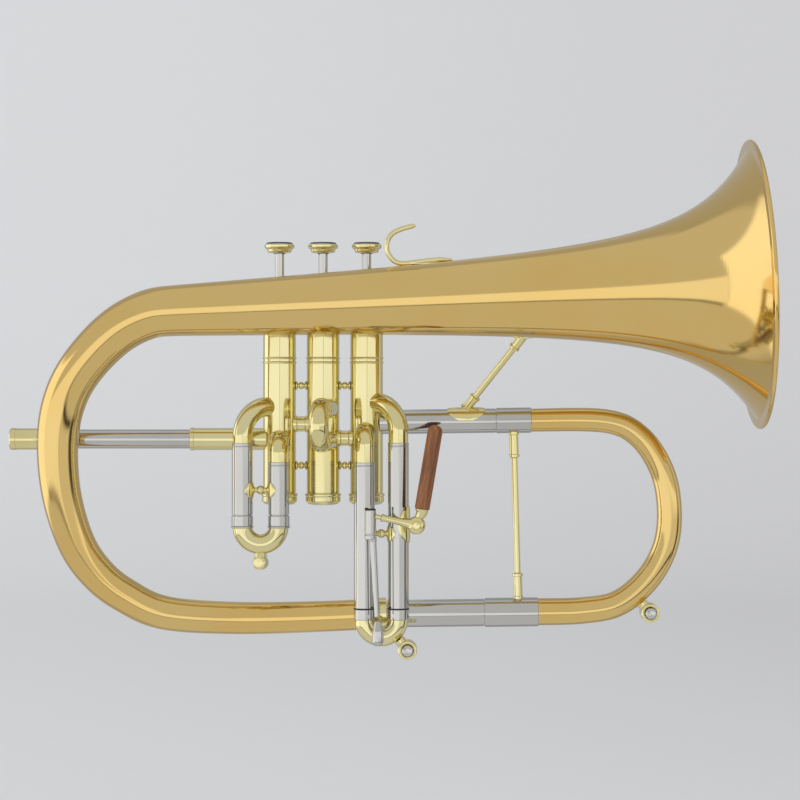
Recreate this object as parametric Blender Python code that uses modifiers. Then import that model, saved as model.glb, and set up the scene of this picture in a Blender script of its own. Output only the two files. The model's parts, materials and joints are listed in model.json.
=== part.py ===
"""Flugelhorn, one object for each piece, in metres.

The origin is on the middle valve's axis, at the height of its ports. +X points to the bell's mouth,
+Z to the finger buttons and -Y to the side that the second slide points to.
"""

import math

import bmesh
import bpy
from mathutils import Matrix, Vector

MM = 0.001
X, Y, Z = Vector((1, 0, 0)), Vector((0, 1, 0)), Vector((0, 0, 1))

# Fits
GAP = 0.3 * MM
STEP = 0.4 * MM

# Facets of a half-round bend
BEND_STEPS = 8

# Valves
VALVE_PITCH = 24.0 * MM
CASING_R = 9.0 * MM
CASING_BORE = CASING_R - 0.7 * MM
CASING_SPIGOT = CASING_R - 0.35 * MM
CASING_TOP = 66.0 * MM
CASING_BOTTOM = -40.0 * MM
SPIGOT_LENGTH = 4.5 * MM
RING_HEIGHT = 32.8 * MM
RING_PROUD = 0.45 * MM
CAP_WALL = 1.5 * MM
TOP_CAP_R = CASING_R + 0.6 * MM
TOP_CAP_HEIGHT = 8.7 * MM
BOTTOM_CAP_R = CASING_R + MM
BOTTOM_CAP_HEIGHT = 6.5 * MM
VENT_R = 2.5 * MM
PISTON_WALL = 0.8 * MM
PISTON_TOP = 46.0 * MM
PISTON_BOTTOM = -24.0 * MM
PISTON_HUB_R = 5.0 * MM
STEM_R = 2.5 * MM
BUTTON_R = 8.25 * MM
BUTTON_HEIGHT = 6.0 * MM
BUTTON_TOP = 97.9 * MM
BUTTON_GRIP_DEPTH = 3.0 * MM
SPRING_WIRE_R = 0.45 * MM
SPRING_TURNS = 3
SPRING_POINTS = 8

# Joins between the casings
STAY_HEIGHTS = (19.0 * MM, -25.0 * MM)
STAY_R = 1.7 * MM
STAY_BALL_R = 2.6 * MM
KNUCKLE_HEIGHTS = (-2.2 * MM, -10.0 * MM)
KNUCKLE_R = 4.2 * MM
KNUCKLE_BORE = 3.7 * MM

# Tubes of the three valve slides
LEG_R = 5.0 * MM
LEG_BORE = LEG_R - 0.45 * MM
SLEEVE_BORE = LEG_R + GAP
SLEEVE_R = SLEEVE_BORE + 0.45 * MM
FERRULE_R = SLEEVE_R + 0.1 * MM
SLIDE_BOW_R = LEG_R + 0.4 * MM
SLIDE_Y = -(BOTTOM_CAP_R + GAP + SLEEVE_R)

# First slide: the outer leg is the one away from the casing
SLIDE_1_OUTER_X = -43.5 * MM
SLIDE_1_INNER_X = -23.6 * MM
SLIDE_1_OUTER_PORT = 7.2 * MM
SLIDE_1_INNER_PORT = -10.8 * MM
SLIDE_1_OUTER_SLEEVE = -12.4 * MM
SLIDE_1_INNER_SLEEVE = -22.8 * MM
SLIDE_1_LEG_TOP = -24.5 * MM
SLIDE_1_SEAM = -51.6 * MM
SLIDE_1_BEND = -57.6 * MM
SLIDE_1_STAY = -38.0 * MM
KNOB_R = 4.15 * MM
KNOB_LENGTH = 10.0 * MM
KNOB_NECK_R = 2.2 * MM

# Third slide
SLIDE_3_OUTER_X = 41.5 * MM
SLIDE_3_INNER_X = 23.0 * MM
SLIDE_3_OUTER_PORT = 9.6 * MM
SLIDE_3_INNER_PORT = -6.4 * MM
SLIDE_3_OUTER_SLEEVE = -12.3 * MM
SLIDE_3_INNER_SLEEVE = -23.0 * MM
SLIDE_3_LEG_TOP = -26.0 * MM
SLIDE_3_SEAM = -102.5 * MM
SLIDE_3_BEND = -113.4 * MM
SLIDE_3_STAY = -61.7 * MM
OUTER_BEND_R = 16.5 * MM
INNER_BEND_R = 7.3 * MM

# Second slide, which points forward and a little to the mouthpiece side
SLIDE_2_UPPER = 6.3 * MM
SLIDE_2_LOWER = -11.5 * MM
SLIDE_2_LEAN = math.radians(7.2)
SLIDE_2_START_X = 3.4 * MM
SLIDE_2_SLEEVE_END = 21.5 * MM
SLIDE_2_LEG_TOP = 11.0 * MM
SLIDE_2_BEND = 28.5 * MM

# Leadpipe and receiver
LEADPIPE_HEIGHT = -10.5 * MM
LEADPIPE_R = 5.3 * MM
LEADPIPE_BORE = LEADPIPE_R - 0.7 * MM
LEADPIPE_SPIGOT_R = LEADPIPE_R - 0.3 * MM
LEADPIPE_SLEEVE_R = LEADPIPE_R + 1.05 * MM
LEADPIPE_SLEEVE_END = -73.1 * MM
LEADPIPE_TIP = -40.0 * MM
RECEIVER_R = LEADPIPE_R + 0.75 * MM
RECEIVER_MOUTH = -172.4 * MM
RECEIVER_END = -138.0 * MM
RECEIVER_OVERLAP = 9.0 * MM
RECEIVER_CHAMFER = 0.3 * MM
SOCKET_MOUTH_R = 4.9 * MM
SOCKET_THROAT_R = 4.3 * MM
SCREW_X = -156.0 * MM
SCREW_R = 2.4 * MM
SCREW_NECK_R = 1.3 * MM
SCREW_NECK = 0.9 * MM

# Tuning slide
TUNING_UPPER_Z = -0.1 * MM
TUNING_UPPER_R = 6.7 * MM
TUNING_UPPER_LEG_R = 5.9 * MM
TUNING_UPPER_SEAM = 95.1 * MM
TUNING_UPPER_BEND = 114.6 * MM
TUNING_LOWER_Z = -105.75 * MM
TUNING_LOWER_R = 7.55 * MM
TUNING_LOWER_LEG_R = 6.75 * MM
TUNING_LOWER_SEAM = 88.7 * MM
TUNING_LOWER_BEND = 118.5 * MM
TUNING_SLOPE = math.radians(0.75)
TUNING_LEG_TIP = 44.0 * MM
TUNING_UPPER_FERRULE_R = 7.0 * MM
TUNING_LOWER_FERRULE_R = 8.0 * MM
TUNING_BOW_START_R = 6.35 * MM
TUNING_BOW_END_R = 7.45 * MM
TUNING_REACH = 191.0 * MM
# Points of the bow between its legs, as shares of its reach and of its drop
TUNING_CROWN = (
    (0.54, 0.005),
    (0.79, 0.09),
    (0.95, 0.27),
    (1.0, 0.47),
    (0.97, 0.66),
    (0.84, 0.83),
    (0.63, 0.955),
    (0.37, 0.993),
)
TUBE_WALL = 0.55 * MM
TUNING_STAY_X = (104.8 * MM, 107.8 * MM)
TUNING_STAY_R = 1.75 * MM
TUNING_STAY_SOCKET_R = 2.5 * MM
TUNING_STAY_SOCKET = 14.0 * MM

# Bell and main bow
BELL_Y = -28.0 * MM
BELL_RISE = math.radians(2.55)
BELL_MOUTH = Vector((234.8 * MM, BELL_Y, 73.3 * MM))
BELL_LENGTH = 312.0 * MM
BELL_R = 78.0 * MM
BELL_STEM_R = 24.3 * MM
BELL_TAPER = 0.034
BELL_FLARES = ((22.9 * MM, 60.0 * MM), (29.5 * MM, 21.3 * MM))
BELL_WALL = 0.6 * MM
RIM_WIRE_R = 1.3 * MM
BOW_START_X = 35.0 * MM
BOW_START_R = 8.4 * MM
BOW_FERRULE_R = 8.9 * MM
BOW_FERRULE_LENGTH = 4.4 * MM
BOW_GROWTH = 1.7
BOW_CREST_X = -143.8 * MM

# Water keys: a barrel with a spring button in its front end
KEY_R = 5.2 * MM
KEY_LENGTH = 13.0 * MM
KEY_BUTTON_R = 3.1 * MM
KEY_PROUD = 2.0 * MM
KEY_FLOOR = 2.0 * MM
KEY_TRAVEL = 1.6 * MM
SLIDE_3_KEY = Vector((46.5 * MM, SLIDE_Y + 6.5 * MM, -124.9 * MM))
TUNING_KEY = Vector((180.0 * MM, 6.5 * MM, -106.0 * MM))

# Trigger
TRIGGER_PIVOT_X = 51.3 * MM
TRIGGER_PIVOT_Z = -56.7 * MM
GRIP_R = 4.05 * MM
GRIP_LENGTH = 46.0 * MM
GRIP_START = Vector((54.3 * MM, 0, -48.0 * MM))
GRIP_END = Vector((62.0 * MM, 0, -2.3 * MM))
TRIGGER_Y = SLIDE_Y - SLEEVE_R - GRIP_R - 2 * GAP
TRIGGER_HUB_R = 4.9 * MM
TRIGGER_HUB_LENGTH = 7.0 * MM
TRIGGER_PIN_R = 1.6 * MM
TRIGGER_HEAD_R = 2.6 * MM
TRIGGER_ARM_R = 2.2 * MM
TRIGGER_BALL_R = 1.5 * MM
TRIGGER_NECK_R = 1.2 * MM
TRIGGER_SADDLE_REACH = 11.0 * MM
LINK_X = 26.4 * MM
LINK_BALL_Z = -51.4 * MM
LINK_PLAY = 0.5 * MM
LINK_BARREL_R = 3.1 * MM
LINK_BARREL_BORE = 2.45 * MM
LINK_BARREL_TOP = -47.8 * MM
LINK_BARREL_END = -64.6 * MM
LINK_ROD_R = 1.7 * MM
LINK_PIVOT = Vector((30.0 * MM, TRIGGER_Y, -106.0 * MM))
FOOT_R = 3.2 * MM
FOOT_END_Z = -122.0 * MM

# Braces and finger hook
SADDLE_THICKNESS = 0.9 * MM
SLIDE_STAY_R = 1.5 * MM
SLIDE_STAY_BALL_R = 2.3 * MM
SLIDE_SADDLE_REACH = 4.0 * MM
BELL_STAY_X = (78.8 * MM, 109.4 * MM)
BELL_STAY_R = 1.75 * MM
BELL_STAY_SOCKET = 9.0 * MM
BELL_STAY_REACH = 11.5 * MM
BELL_STAY_DEPTH = 6.0 * MM
BELL_STAY_WRAP = math.radians(26)
HOOK_R = 1.35 * MM
HOOK_START_X = 70.7 * MM
HOOK_BOTTOM_X = 42.5 * MM
HOOK_HEIGHT = 20.5 * MM

FINISHES = {
    "gold_brass": ((0.78, 0.47, 0.24), 0.16, 1.0),
    "yellow_brass": ((0.82, 0.72, 0.32), 0.18, 1.0),
    "nickel_silver": ((0.70, 0.70, 0.66), 0.2, 1.0),
    "spring_steel": ((0.5, 0.5, 0.52), 0.35, 1.0),
    "rosewood": ((0.30, 0.12, 0.06), 0.45, 0.0),
}


def clear_scene():
    for item in list(bpy.data.objects):
        bpy.data.objects.remove(item, do_unlink=True)


def new_collection(name):
    group = bpy.data.collections.new(name)
    bpy.context.scene.collection.children.link(group)
    return group


def dress(piece, finish):
    """Gives the piece its own material, with the finish's colour, roughness and metal."""
    colour, roughness, metal = FINISHES[finish]
    material = bpy.data.materials.new(piece.name)
    material.use_nodes = True
    shader = material.node_tree.nodes["Principled BSDF"]
    shader.inputs["Base Color"].default_value = (*colour, 1)
    shader.inputs["Roughness"].default_value = roughness
    shader.inputs["Metallic"].default_value = metal
    piece.data.materials.append(material)


def add_object(name, mesh, finish=None):
    """Links the mesh as a piece with a finish, or as a hidden tool for a Boolean without one."""
    item = bpy.data.objects.new(name, mesh)
    if finish:
        PIECES.objects.link(item)
        dress(item, finish)
        mesh.shade_smooth()
        mesh.set_sharp_from_angle(angle=math.radians(35))
    else:
        TOOLS.objects.link(item)
        item.hide_render = True
        item.display_type = "WIRE"
    return item


def boolean(piece, operation, tools):
    for tool in tools:
        modifier = piece.modifiers.new(operation.title(), "BOOLEAN")
        modifier.operation = operation
        modifier.solver = "EXACT"
        modifier.object = tool
    return piece


def cut(piece, *tools):
    return boolean(piece, "DIFFERENCE", tools)


def join(piece, *tools):
    return boolean(piece, "UNION", tools)


def turned(name, outline, base, along, finish=None, sides=12):
    """Turns (radius, height) points round the line from base towards along.

    The outline is open where it starts and ends on the axis, and closed otherwise.
    """
    pairs = zip(outline, outline[1:] + outline[:1])
    if sum(r0 * h1 - r1 * h0 for (r0, h0), (r1, h1) in pairs) > 0:
        outline = outline[::-1]
    shape = bmesh.new()
    points = [shape.verts.new((radius, 0, height)) for radius, height in outline]
    for first, second in zip(points, points[1:]):
        shape.edges.new((first, second))
    if outline[0][0] or outline[-1][0]:
        shape.edges.new((points[-1], points[0]))
    mesh = bpy.data.meshes.new(name)
    shape.to_mesh(mesh)
    shape.free()
    item = add_object(name, mesh, finish)
    screw = item.modifiers.new("Turn", "SCREW")
    screw.steps = screw.render_steps = sides
    screw.use_merge_vertices = True
    screw.merge_threshold = 0.01 * MM
    screw.use_smooth_shade = True
    item.location = base
    item.rotation_mode = "QUATERNION"
    item.rotation_quaternion = Vector(along).to_track_quat("Z", "Y")
    return item


def rod(name, start, end, radius, finish=None, sides=12):
    """A solid cylinder from start to end."""
    along = end - start
    outline = [(0, along.length), (radius, along.length), (radius, 0), (0, 0)]
    return turned(name, outline, start, along, finish, sides)


def sleeve(name, start, end, outer, inner, finish=None, sides=12):
    """A straight tube from start to end."""
    along = end - start
    length = along.length
    outline = [(outer, length), (outer, 0), (inner, 0), (inner, length)]
    return turned(name, outline, start, along, finish, sides)


def bar(name, stations, finish=None, sides=12):
    """A solid round bar through (place, radius) stations."""
    curve = bpy.data.curves.new(name, "CURVE")
    curve.dimensions = "3D"
    curve.bevel_depth = MM
    curve.bevel_resolution = (sides - 4) // 2
    curve.use_fill_caps = True
    spline = curve.splines.new("POLY")
    spline.points.add(len(stations) - 1)
    for point, (place, radius) in zip(spline.points, stations):
        point.co = (*place, 1)
        point.radius = radius / MM
    guide = bpy.data.objects.new(name + "_guide", curve)
    TOOLS.objects.link(guide)
    bpy.context.view_layer.update()
    graph = bpy.context.evaluated_depsgraph_get()
    mesh = bpy.data.meshes.new_from_object(guide.evaluated_get(graph))
    mesh.name = name
    bpy.data.objects.remove(guide, do_unlink=True)
    shape = bmesh.new()
    shape.from_mesh(mesh)
    bmesh.ops.remove_doubles(shape, verts=shape.verts, dist=0.001 * MM)
    bmesh.ops.recalc_face_normals(shape, faces=shape.faces)
    shape.to_mesh(mesh)
    shape.free()
    mesh.materials.clear()
    return add_object(name, mesh, finish)


def pipe(name, stations, finish, sides=12):
    """A bent tube through (place, outer radius, bore radius) stations, open at both ends."""
    body = bar(name, [(place, outer) for place, outer, _ in stations], finish, sides)
    bore = [(stations[0][0], stations[0][2])]
    for place, _, radius in stations[1:]:
        if (place - bore[-1][0]).length > 2 * STEP:
            bore.append((place, radius))
    before = bore[0][0] + (bore[0][0] - bore[1][0]).normalized() * MM
    after = bore[-1][0] + (bore[-1][0] - bore[-2][0]).normalized() * MM
    bore = [(before, bore[0][1])] + bore + [(after, bore[-1][1])]
    return cut(body, bar(name + "_bore", bore, None, sides))


def rounded(corners, bend, steps=5):
    """The route through the corners, with each inner corner rounded to the bend radius, or to what has room."""
    route = [corners[0]]
    for before, corner, after in zip(corners, corners[1:], corners[2:]):
        arrive = (corner - before).normalized()
        leave = (after - corner).normalized()
        turn = arrive.angle(leave)
        room = min((corner - before).length, (after - corner).length) - STEP
        back = min(bend * math.tan(turn / 2), room)
        inward = (leave - arrive).normalized()
        centre = corner + inward * (back / math.sin(turn / 2))
        axis = arrive.cross(leave).normalized()
        start = corner - arrive * back - centre
        for i in range(steps + 1):
            route.append(centre + Matrix.Rotation(turn * i / steps, 3, axis) @ start)
    return route + [corners[-1]]


def smooth(points, per_span):
    """The route of a smooth curve through the points."""
    ends = [2 * points[0] - points[1]] + points + [2 * points[-1] - points[-2]]
    route = []
    for a, b, c, d in zip(ends, ends[1:], ends[2:], ends[3:]):
        for i in range(per_span):
            t = i / per_span
            route.append(
                0.5
                * (2 * b + (c - a) * t + (2 * a - 5 * b + 4 * c - d) * t**2 + (3 * b - a - 3 * c + d) * t**3)
            )
    return route + [points[-1]]


def distances(route):
    """How far along the route each of its points is, from 0 to 1."""
    so_far = [0.0]
    for before, after in zip(route, route[1:]):
        so_far.append(so_far[-1] + (after - before).length)
    return [value / so_far[-1] for value in so_far]


def hairpin(first, second, out, leg_top, seam, bend, bow_r):
    """Stations of a valve slide: leg, ferrule, half-round bow, ferrule and leg.

    first and second are the legs' places at distance 0, and the other sizes are distances along out.
    """
    leg = [
        (leg_top, LEG_R),
        (seam + GAP, LEG_R),
        (seam + GAP + STEP, FERRULE_R),
        (bend - STEP, FERRULE_R),
        (bend, bow_r),
    ]
    stations = [(first + out * way, radius, LEG_BORE) for way, radius in leg]
    centre = (first + second) / 2 + out * bend
    half = (first - second) / 2
    for i in range(1, BEND_STEPS):
        angle = math.pi * i / BEND_STEPS
        place = centre + half * math.cos(angle) + out * (half.length * math.sin(angle))
        stations.append((place, bow_r, LEG_BORE))
    return stations + [(second + out * way, radius, LEG_BORE) for way, radius in leg[::-1]]


def bow_envelope(name, stations):
    """A tool round the bow of a hairpin, with the clearance that its fittings keep."""
    return bar(name, [(place, outer + GAP) for place, outer, _ in stations[4:-4]])


def saddle(name, centre, tube_axis, outward, tube_r, reach, sides=12):
    """A tool: a curved pad on the side of a tube, round when seen along outward."""
    half = reach * tube_axis
    inner = tube_r + GAP
    outer = inner + SADDLE_THICKNESS
    pad = sleeve(name, centre - half, centre + half, outer, inner, None, 16)
    disc = rod(name + "_disc", centre + outward * inner * 0.15, centre + outward * 2 * outer, reach, None, sides)
    return boolean(pad, "INTERSECT", [disc])


# Valves

def valve_x(number):
    return (number - 1) * VALVE_PITCH


def casing_envelope(number):
    """A tool as wide as the casing with its clearance, for what is soldered to it."""
    foot = Vector((valve_x(number), 0, CASING_BOTTOM))
    head = Vector((valve_x(number), 0, CASING_TOP))
    return rod(f"casing_envelope_{number + 1}", foot, head, CASING_R + GAP, None, 20)


def make_casing(number):
    bead = 0.5 * MM
    outline = [(CASING_SPIGOT, CASING_TOP + SPIGOT_LENGTH), (CASING_SPIGOT, CASING_TOP), (CASING_R, CASING_TOP)]
    for ring in (RING_HEIGHT + 1.2 * MM, RING_HEIGHT - 1.2 * MM):
        outline += [
            (CASING_R, ring + 1.6 * bead),
            (CASING_R + RING_PROUD, ring + 0.6 * bead),
            (CASING_R + RING_PROUD, ring - 0.6 * bead),
            (CASING_R, ring - 1.6 * bead),
        ]
    outline += [
        (CASING_R, CASING_BOTTOM),
        (CASING_SPIGOT, CASING_BOTTOM),
        (CASING_SPIGOT, CASING_BOTTOM - SPIGOT_LENGTH),
        (CASING_BORE, CASING_BOTTOM - SPIGOT_LENGTH),
        (CASING_BORE, CASING_TOP + SPIGOT_LENGTH),
    ]
    axis = Vector((valve_x(number), 0, 0))
    return turned(f"valve_casing_{number + 1}", outline, axis, Z, "yellow_brass", 16)


def make_caps(number):
    axis = Vector((valve_x(number), 0, 0))
    inside = CASING_SPIGOT + GAP
    top = CASING_TOP + GAP + TOP_CAP_HEIGHT
    seat = CASING_TOP + GAP
    hole = STEM_R + GAP
    outline = [
        (hole, top),
        (TOP_CAP_R - MM, top),
        (TOP_CAP_R, top - MM),
        (TOP_CAP_R, seat),
        (inside, seat),
        (inside, top - CAP_WALL),
        (hole, top - CAP_WALL),
    ]
    turned(f"top_cap_{number + 1}", outline, axis, Z, "yellow_brass", 16)
    rim = CASING_BOTTOM - GAP
    base = rim - BOTTOM_CAP_HEIGHT
    outline = [
        (inside, rim),
        (BOTTOM_CAP_R, rim),
        (BOTTOM_CAP_R, rim - 1.6 * MM),
        (BOTTOM_CAP_R - STEP, rim - 2 * MM),
        (BOTTOM_CAP_R - STEP, base + MM),
        (BOTTOM_CAP_R - 1.4 * MM, base),
        (VENT_R, base),
        (VENT_R, base + CAP_WALL),
        (inside, base + CAP_WALL),
    ]
    turned(f"bottom_cap_{number + 1}", outline, axis, Z, "yellow_brass", 16)


def make_piston(number):
    axis = Vector((valve_x(number), 0, 0))
    outer = CASING_BORE - GAP
    inner = outer - PISTON_WALL
    stop = CASING_TOP + TOP_CAP_HEIGHT - CAP_WALL
    stem_top = BUTTON_TOP - BUTTON_HEIGHT + BUTTON_GRIP_DEPTH
    outline = [
        (0, stem_top),
        (STEM_R, stem_top),
        (STEM_R, stop),
        (PISTON_HUB_R, stop),
        (PISTON_HUB_R, PISTON_TOP),
        (outer, PISTON_TOP),
        (outer, PISTON_BOTTOM),
        (inner, PISTON_BOTTOM),
        (inner, PISTON_TOP - PISTON_WALL),
        (0, PISTON_TOP - PISTON_WALL),
    ]
    return turned(f"piston_{number + 1}", outline, axis, Z, "nickel_silver")


def make_button(number):
    axis = Vector((valve_x(number), 0, 0))
    under = BUTTON_TOP - BUTTON_HEIGHT
    hole = STEM_R + GAP
    depth = under + BUTTON_GRIP_DEPTH + GAP
    outline = [
        (0, BUTTON_TOP),
        (BUTTON_R - 1.4 * MM, BUTTON_TOP),
        (BUTTON_R, BUTTON_TOP - MM),
        (BUTTON_R, BUTTON_TOP - 2.4 * MM),
        (BUTTON_R - 2 * MM, BUTTON_TOP - 3.2 * MM),
        (hole + 1.4 * MM, under),
        (hole, under),
        (hole, depth),
        (0, depth),
    ]
    turned(f"finger_button_{number + 1}", outline, axis, Z, "yellow_brass", 16)


def make_spring(number):
    """An open coil that stands in the bottom cap and carries the piston."""
    floor = CASING_BOTTOM - GAP - BOTTOM_CAP_HEIGHT + CAP_WALL
    low = floor + GAP + SPRING_WIRE_R
    high = PISTON_BOTTOM - GAP - SPRING_WIRE_R
    coil = CASING_BORE - GAP - PISTON_WALL / 2 - SPRING_WIRE_R
    steps = SPRING_TURNS * SPRING_POINTS
    stations = []
    for i in range(steps + 1):
        angle = 2 * math.pi * i / SPRING_POINTS
        height = low + (high - low) * i / steps
        place = Vector((valve_x(number) + coil * math.cos(angle), coil * math.sin(angle), height))
        stations.append((place, SPRING_WIRE_R))
    bar(f"valve_spring_{number + 1}", stations, "spring_steel", 8)


def make_casing_stays():
    """Small turned stays between neighbouring casings, and the knuckles that join their bores."""
    for left in range(2):
        gap = VALVE_PITCH - 2 * (CASING_R + GAP)
        start_x = valve_x(left) + CASING_R + GAP
        for row, height in zip(("upper", "lower"), STAY_HEIGHTS):
            half = gap / 2
            outline = [
                (0, gap),
                (STAY_R, gap),
                (STAY_R - STEP, half + STAY_BALL_R * 0.7),
                (STAY_BALL_R, half + STAY_R * 0.4),
                (STAY_BALL_R, half - STAY_R * 0.4),
                (STAY_R - STEP, half - STAY_BALL_R * 0.7),
                (STAY_R, 0),
                (0, 0),
            ]
            place = Vector((start_x, 0, height))
            turned(f"casing_stay_{row}_{left + 1}", outline, place, X, "yellow_brass", 12)
        height = KNUCKLE_HEIGHTS[left]
        start = Vector((valve_x(left) + CASING_BORE, 0, height))
        end = Vector((valve_x(left + 1) - CASING_BORE, 0, height))
        knuckle = sleeve(f"casing_knuckle_{left + 1}", start, end, KNUCKLE_R, KNUCKLE_BORE, "yellow_brass")
        cut(knuckle, ENVELOPES[left], ENVELOPES[left + 1])


def make_valves():
    casings = [make_casing(number) for number in range(3)]
    pistons = [make_piston(number) for number in range(3)]
    for number in range(3):
        make_caps(number)
        make_button(number)
        make_spring(number)
    make_casing_stays()
    out = slide_2_out()
    ports = (
        (0, -X, LEADPIPE_HEIGHT, LEADPIPE_BORE),
        (0, X, KNUCKLE_HEIGHTS[0], KNUCKLE_BORE),
        (1, -X, KNUCKLE_HEIGHTS[0], KNUCKLE_BORE),
        (1, X, KNUCKLE_HEIGHTS[1], KNUCKLE_BORE),
        (2, -X, KNUCKLE_HEIGHTS[1], KNUCKLE_BORE),
        (2, X, upper_line(valve_x(2)).z, TUNING_UPPER_LEG_R - TUBE_WALL),
        (0, elbow_out(0, SLIDE_1_OUTER_X), SLIDE_1_OUTER_PORT, LEG_BORE),
        (0, elbow_out(0, SLIDE_1_INNER_X), SLIDE_1_INNER_PORT, LEG_BORE),
        (2, elbow_out(2, SLIDE_3_OUTER_X), SLIDE_3_OUTER_PORT, LEG_BORE),
        (2, elbow_out(2, SLIDE_3_INNER_X), SLIDE_3_INNER_PORT, LEG_BORE),
    )
    for order, (number, towards, height, bore) in enumerate(ports):
        start = Vector((valve_x(number), 0, height))
        port = rod(f"port_{order + 1}", start, start + towards * (CASING_R + MM), bore, None, 8)
        cut(casings[number], port)
        cut(pistons[number], port)
    for order, height in enumerate((SLIDE_2_UPPER, SLIDE_2_LOWER)):
        start = Vector((SLIDE_2_START_X, 0, height))
        port = rod(f"slide_2_port_{order + 1}", start, start + out * (CASING_R + MM), LEG_BORE, None, 8)
        cut(casings[1], port)
        cut(pistons[1], port)


# Valve slides

def elbow_out(number, leg_x):
    """The direction in which an elbow leaves its casing on the way to a leg."""
    return Vector((leg_x - valve_x(number), SLIDE_Y, 0)).normalized()


def make_elbow(name, number, leg_x, port, end, bend):
    """A casing elbow from its port to the top of its sleeve."""
    start = Vector((valve_x(number), 0, port))
    corner = Vector((leg_x, SLIDE_Y, port))
    start += elbow_out(number, leg_x) * (CASING_R - 2 * MM)
    route = rounded([start, corner, Vector((leg_x, SLIDE_Y, end + GAP))], bend)
    cut(pipe(name, [(place, SLIDE_BOW_R, LEG_BORE) for place in route], "yellow_brass"), ENVELOPES[number])


def make_slide_sleeve(name, leg_x, top, seam):
    start, end = Vector((leg_x, SLIDE_Y, top)), Vector((leg_x, SLIDE_Y, seam))
    sleeve(name, start, end, SLEEVE_R, SLEEVE_BORE, "nickel_silver")


def make_slide_stay(name, left_x, right_x, height):
    """A turned ball between two sleeves, with a curved pad on each."""
    start, end = Vector((left_x + SLEEVE_R, SLIDE_Y, height)), Vector((right_x - SLEEVE_R, SLIDE_Y, height))
    middle = (start + end) / 2
    grip = GAP + SADDLE_THICKNESS / 2
    ball = SLIDE_STAY_BALL_R
    stations = [
        (start + X * grip, SLIDE_STAY_R * 1.3),
        (middle - X * ball, SLIDE_STAY_R),
        (middle - X * ball * 0.5, ball),
        (middle + X * ball * 0.5, ball),
        (middle + X * ball, SLIDE_STAY_R),
        (end - X * grip, SLIDE_STAY_R * 1.3),
    ]
    stay = bar(name, stations, "yellow_brass", 12)
    left, right = Vector((left_x, SLIDE_Y, height)), Vector((right_x, SLIDE_Y, height))
    join(stay, saddle(name + "_left", left, Z, X, SLEEVE_R, SLIDE_SADDLE_REACH, 8))
    join(stay, saddle(name + "_right", right, Z, -X, SLEEVE_R, SLIDE_SADDLE_REACH, 8))


def make_slide_1():
    make_elbow("slide_1_elbow_outer", 0, SLIDE_1_OUTER_X, SLIDE_1_OUTER_PORT, SLIDE_1_OUTER_SLEEVE, OUTER_BEND_R)
    make_elbow("slide_1_elbow_inner", 0, SLIDE_1_INNER_X, SLIDE_1_INNER_PORT, SLIDE_1_INNER_SLEEVE, INNER_BEND_R)
    make_slide_sleeve("slide_1_sleeve_outer", SLIDE_1_OUTER_X, SLIDE_1_OUTER_SLEEVE, SLIDE_1_SEAM)
    make_slide_sleeve("slide_1_sleeve_inner", SLIDE_1_INNER_X, SLIDE_1_INNER_SLEEVE, SLIDE_1_SEAM)
    make_slide_stay("slide_1_stay", SLIDE_1_OUTER_X, SLIDE_1_INNER_X, SLIDE_1_STAY)
    outer, inner = Vector((SLIDE_1_OUTER_X, SLIDE_Y, 0)), Vector((SLIDE_1_INNER_X, SLIDE_Y, 0))
    stations = hairpin(outer, inner, -Z, -SLIDE_1_LEG_TOP, -SLIDE_1_SEAM, -SLIDE_1_BEND, SLIDE_BOW_R)
    pipe("slide_1_bow", stations, "yellow_brass")
    bottom = (outer + inner) / 2 + Z * (SLIDE_1_BEND - (inner - outer).length / 2)
    neck_start = bottom - Z * (SLIDE_BOW_R - MM)
    knob_axis = bottom - Z * (SLIDE_BOW_R + KNOB_R + STEP)
    half = Y * (KNOB_LENGTH / 2)
    knob = rod("slide_1_knob", knob_axis - half, knob_axis + half, KNOB_R, "yellow_brass")
    join(knob, rod("knob_neck", knob_axis, neck_start, KNOB_NECK_R, None, 12))
    cut(knob, bow_envelope("slide_1_bow_envelope", stations))


def slide_2_out():
    """The direction in which the second slide pulls out."""
    return Vector((-math.sin(SLIDE_2_LEAN), -math.cos(SLIDE_2_LEAN), 0))


def make_slide_2():
    out = slide_2_out()
    upper, lower = Vector((SLIDE_2_START_X, 0, SLIDE_2_UPPER)), Vector((SLIDE_2_START_X, 0, SLIDE_2_LOWER))
    for name, leg in (("slide_2_sleeve_upper", upper), ("slide_2_sleeve_lower", lower)):
        tube = sleeve(
            name,
            leg + out * 4 * MM,
            leg + out * SLIDE_2_SLEEVE_END,
            SLEEVE_R,
            SLEEVE_BORE,
            "yellow_brass",
        )
        cut(tube, ENVELOPES[1])
    stations = hairpin(upper, lower, out, SLIDE_2_LEG_TOP, SLIDE_2_SLEEVE_END, SLIDE_2_BEND, SLIDE_BOW_R)
    pipe("slide_2_bow", stations, "yellow_brass")


def make_water_key(name, back, finish, envelope):
    """A barrel that points to -Y from back, bored for its button, and cut to sit on its bow."""
    hole = KEY_BUTTON_R + GAP
    front = KEY_LENGTH
    outline = [
        (0, 0),
        (KEY_R - MM, 0),
        (KEY_R, MM),
        (KEY_R, front - MM),
        (KEY_R - 0.8 * MM, front),
        (hole, front),
        (hole, KEY_FLOOR),
        (0, KEY_FLOOR),
    ]
    barrel = turned(name, outline, back, -Y, "yellow_brass")
    cut(barrel, envelope)
    start = back - Y * (KEY_FLOOR + KEY_TRAVEL + GAP)
    end = back - Y * (KEY_LENGTH + KEY_PROUD)
    rod(name + "_button", start, end, KEY_BUTTON_R, finish, 12)


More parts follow.
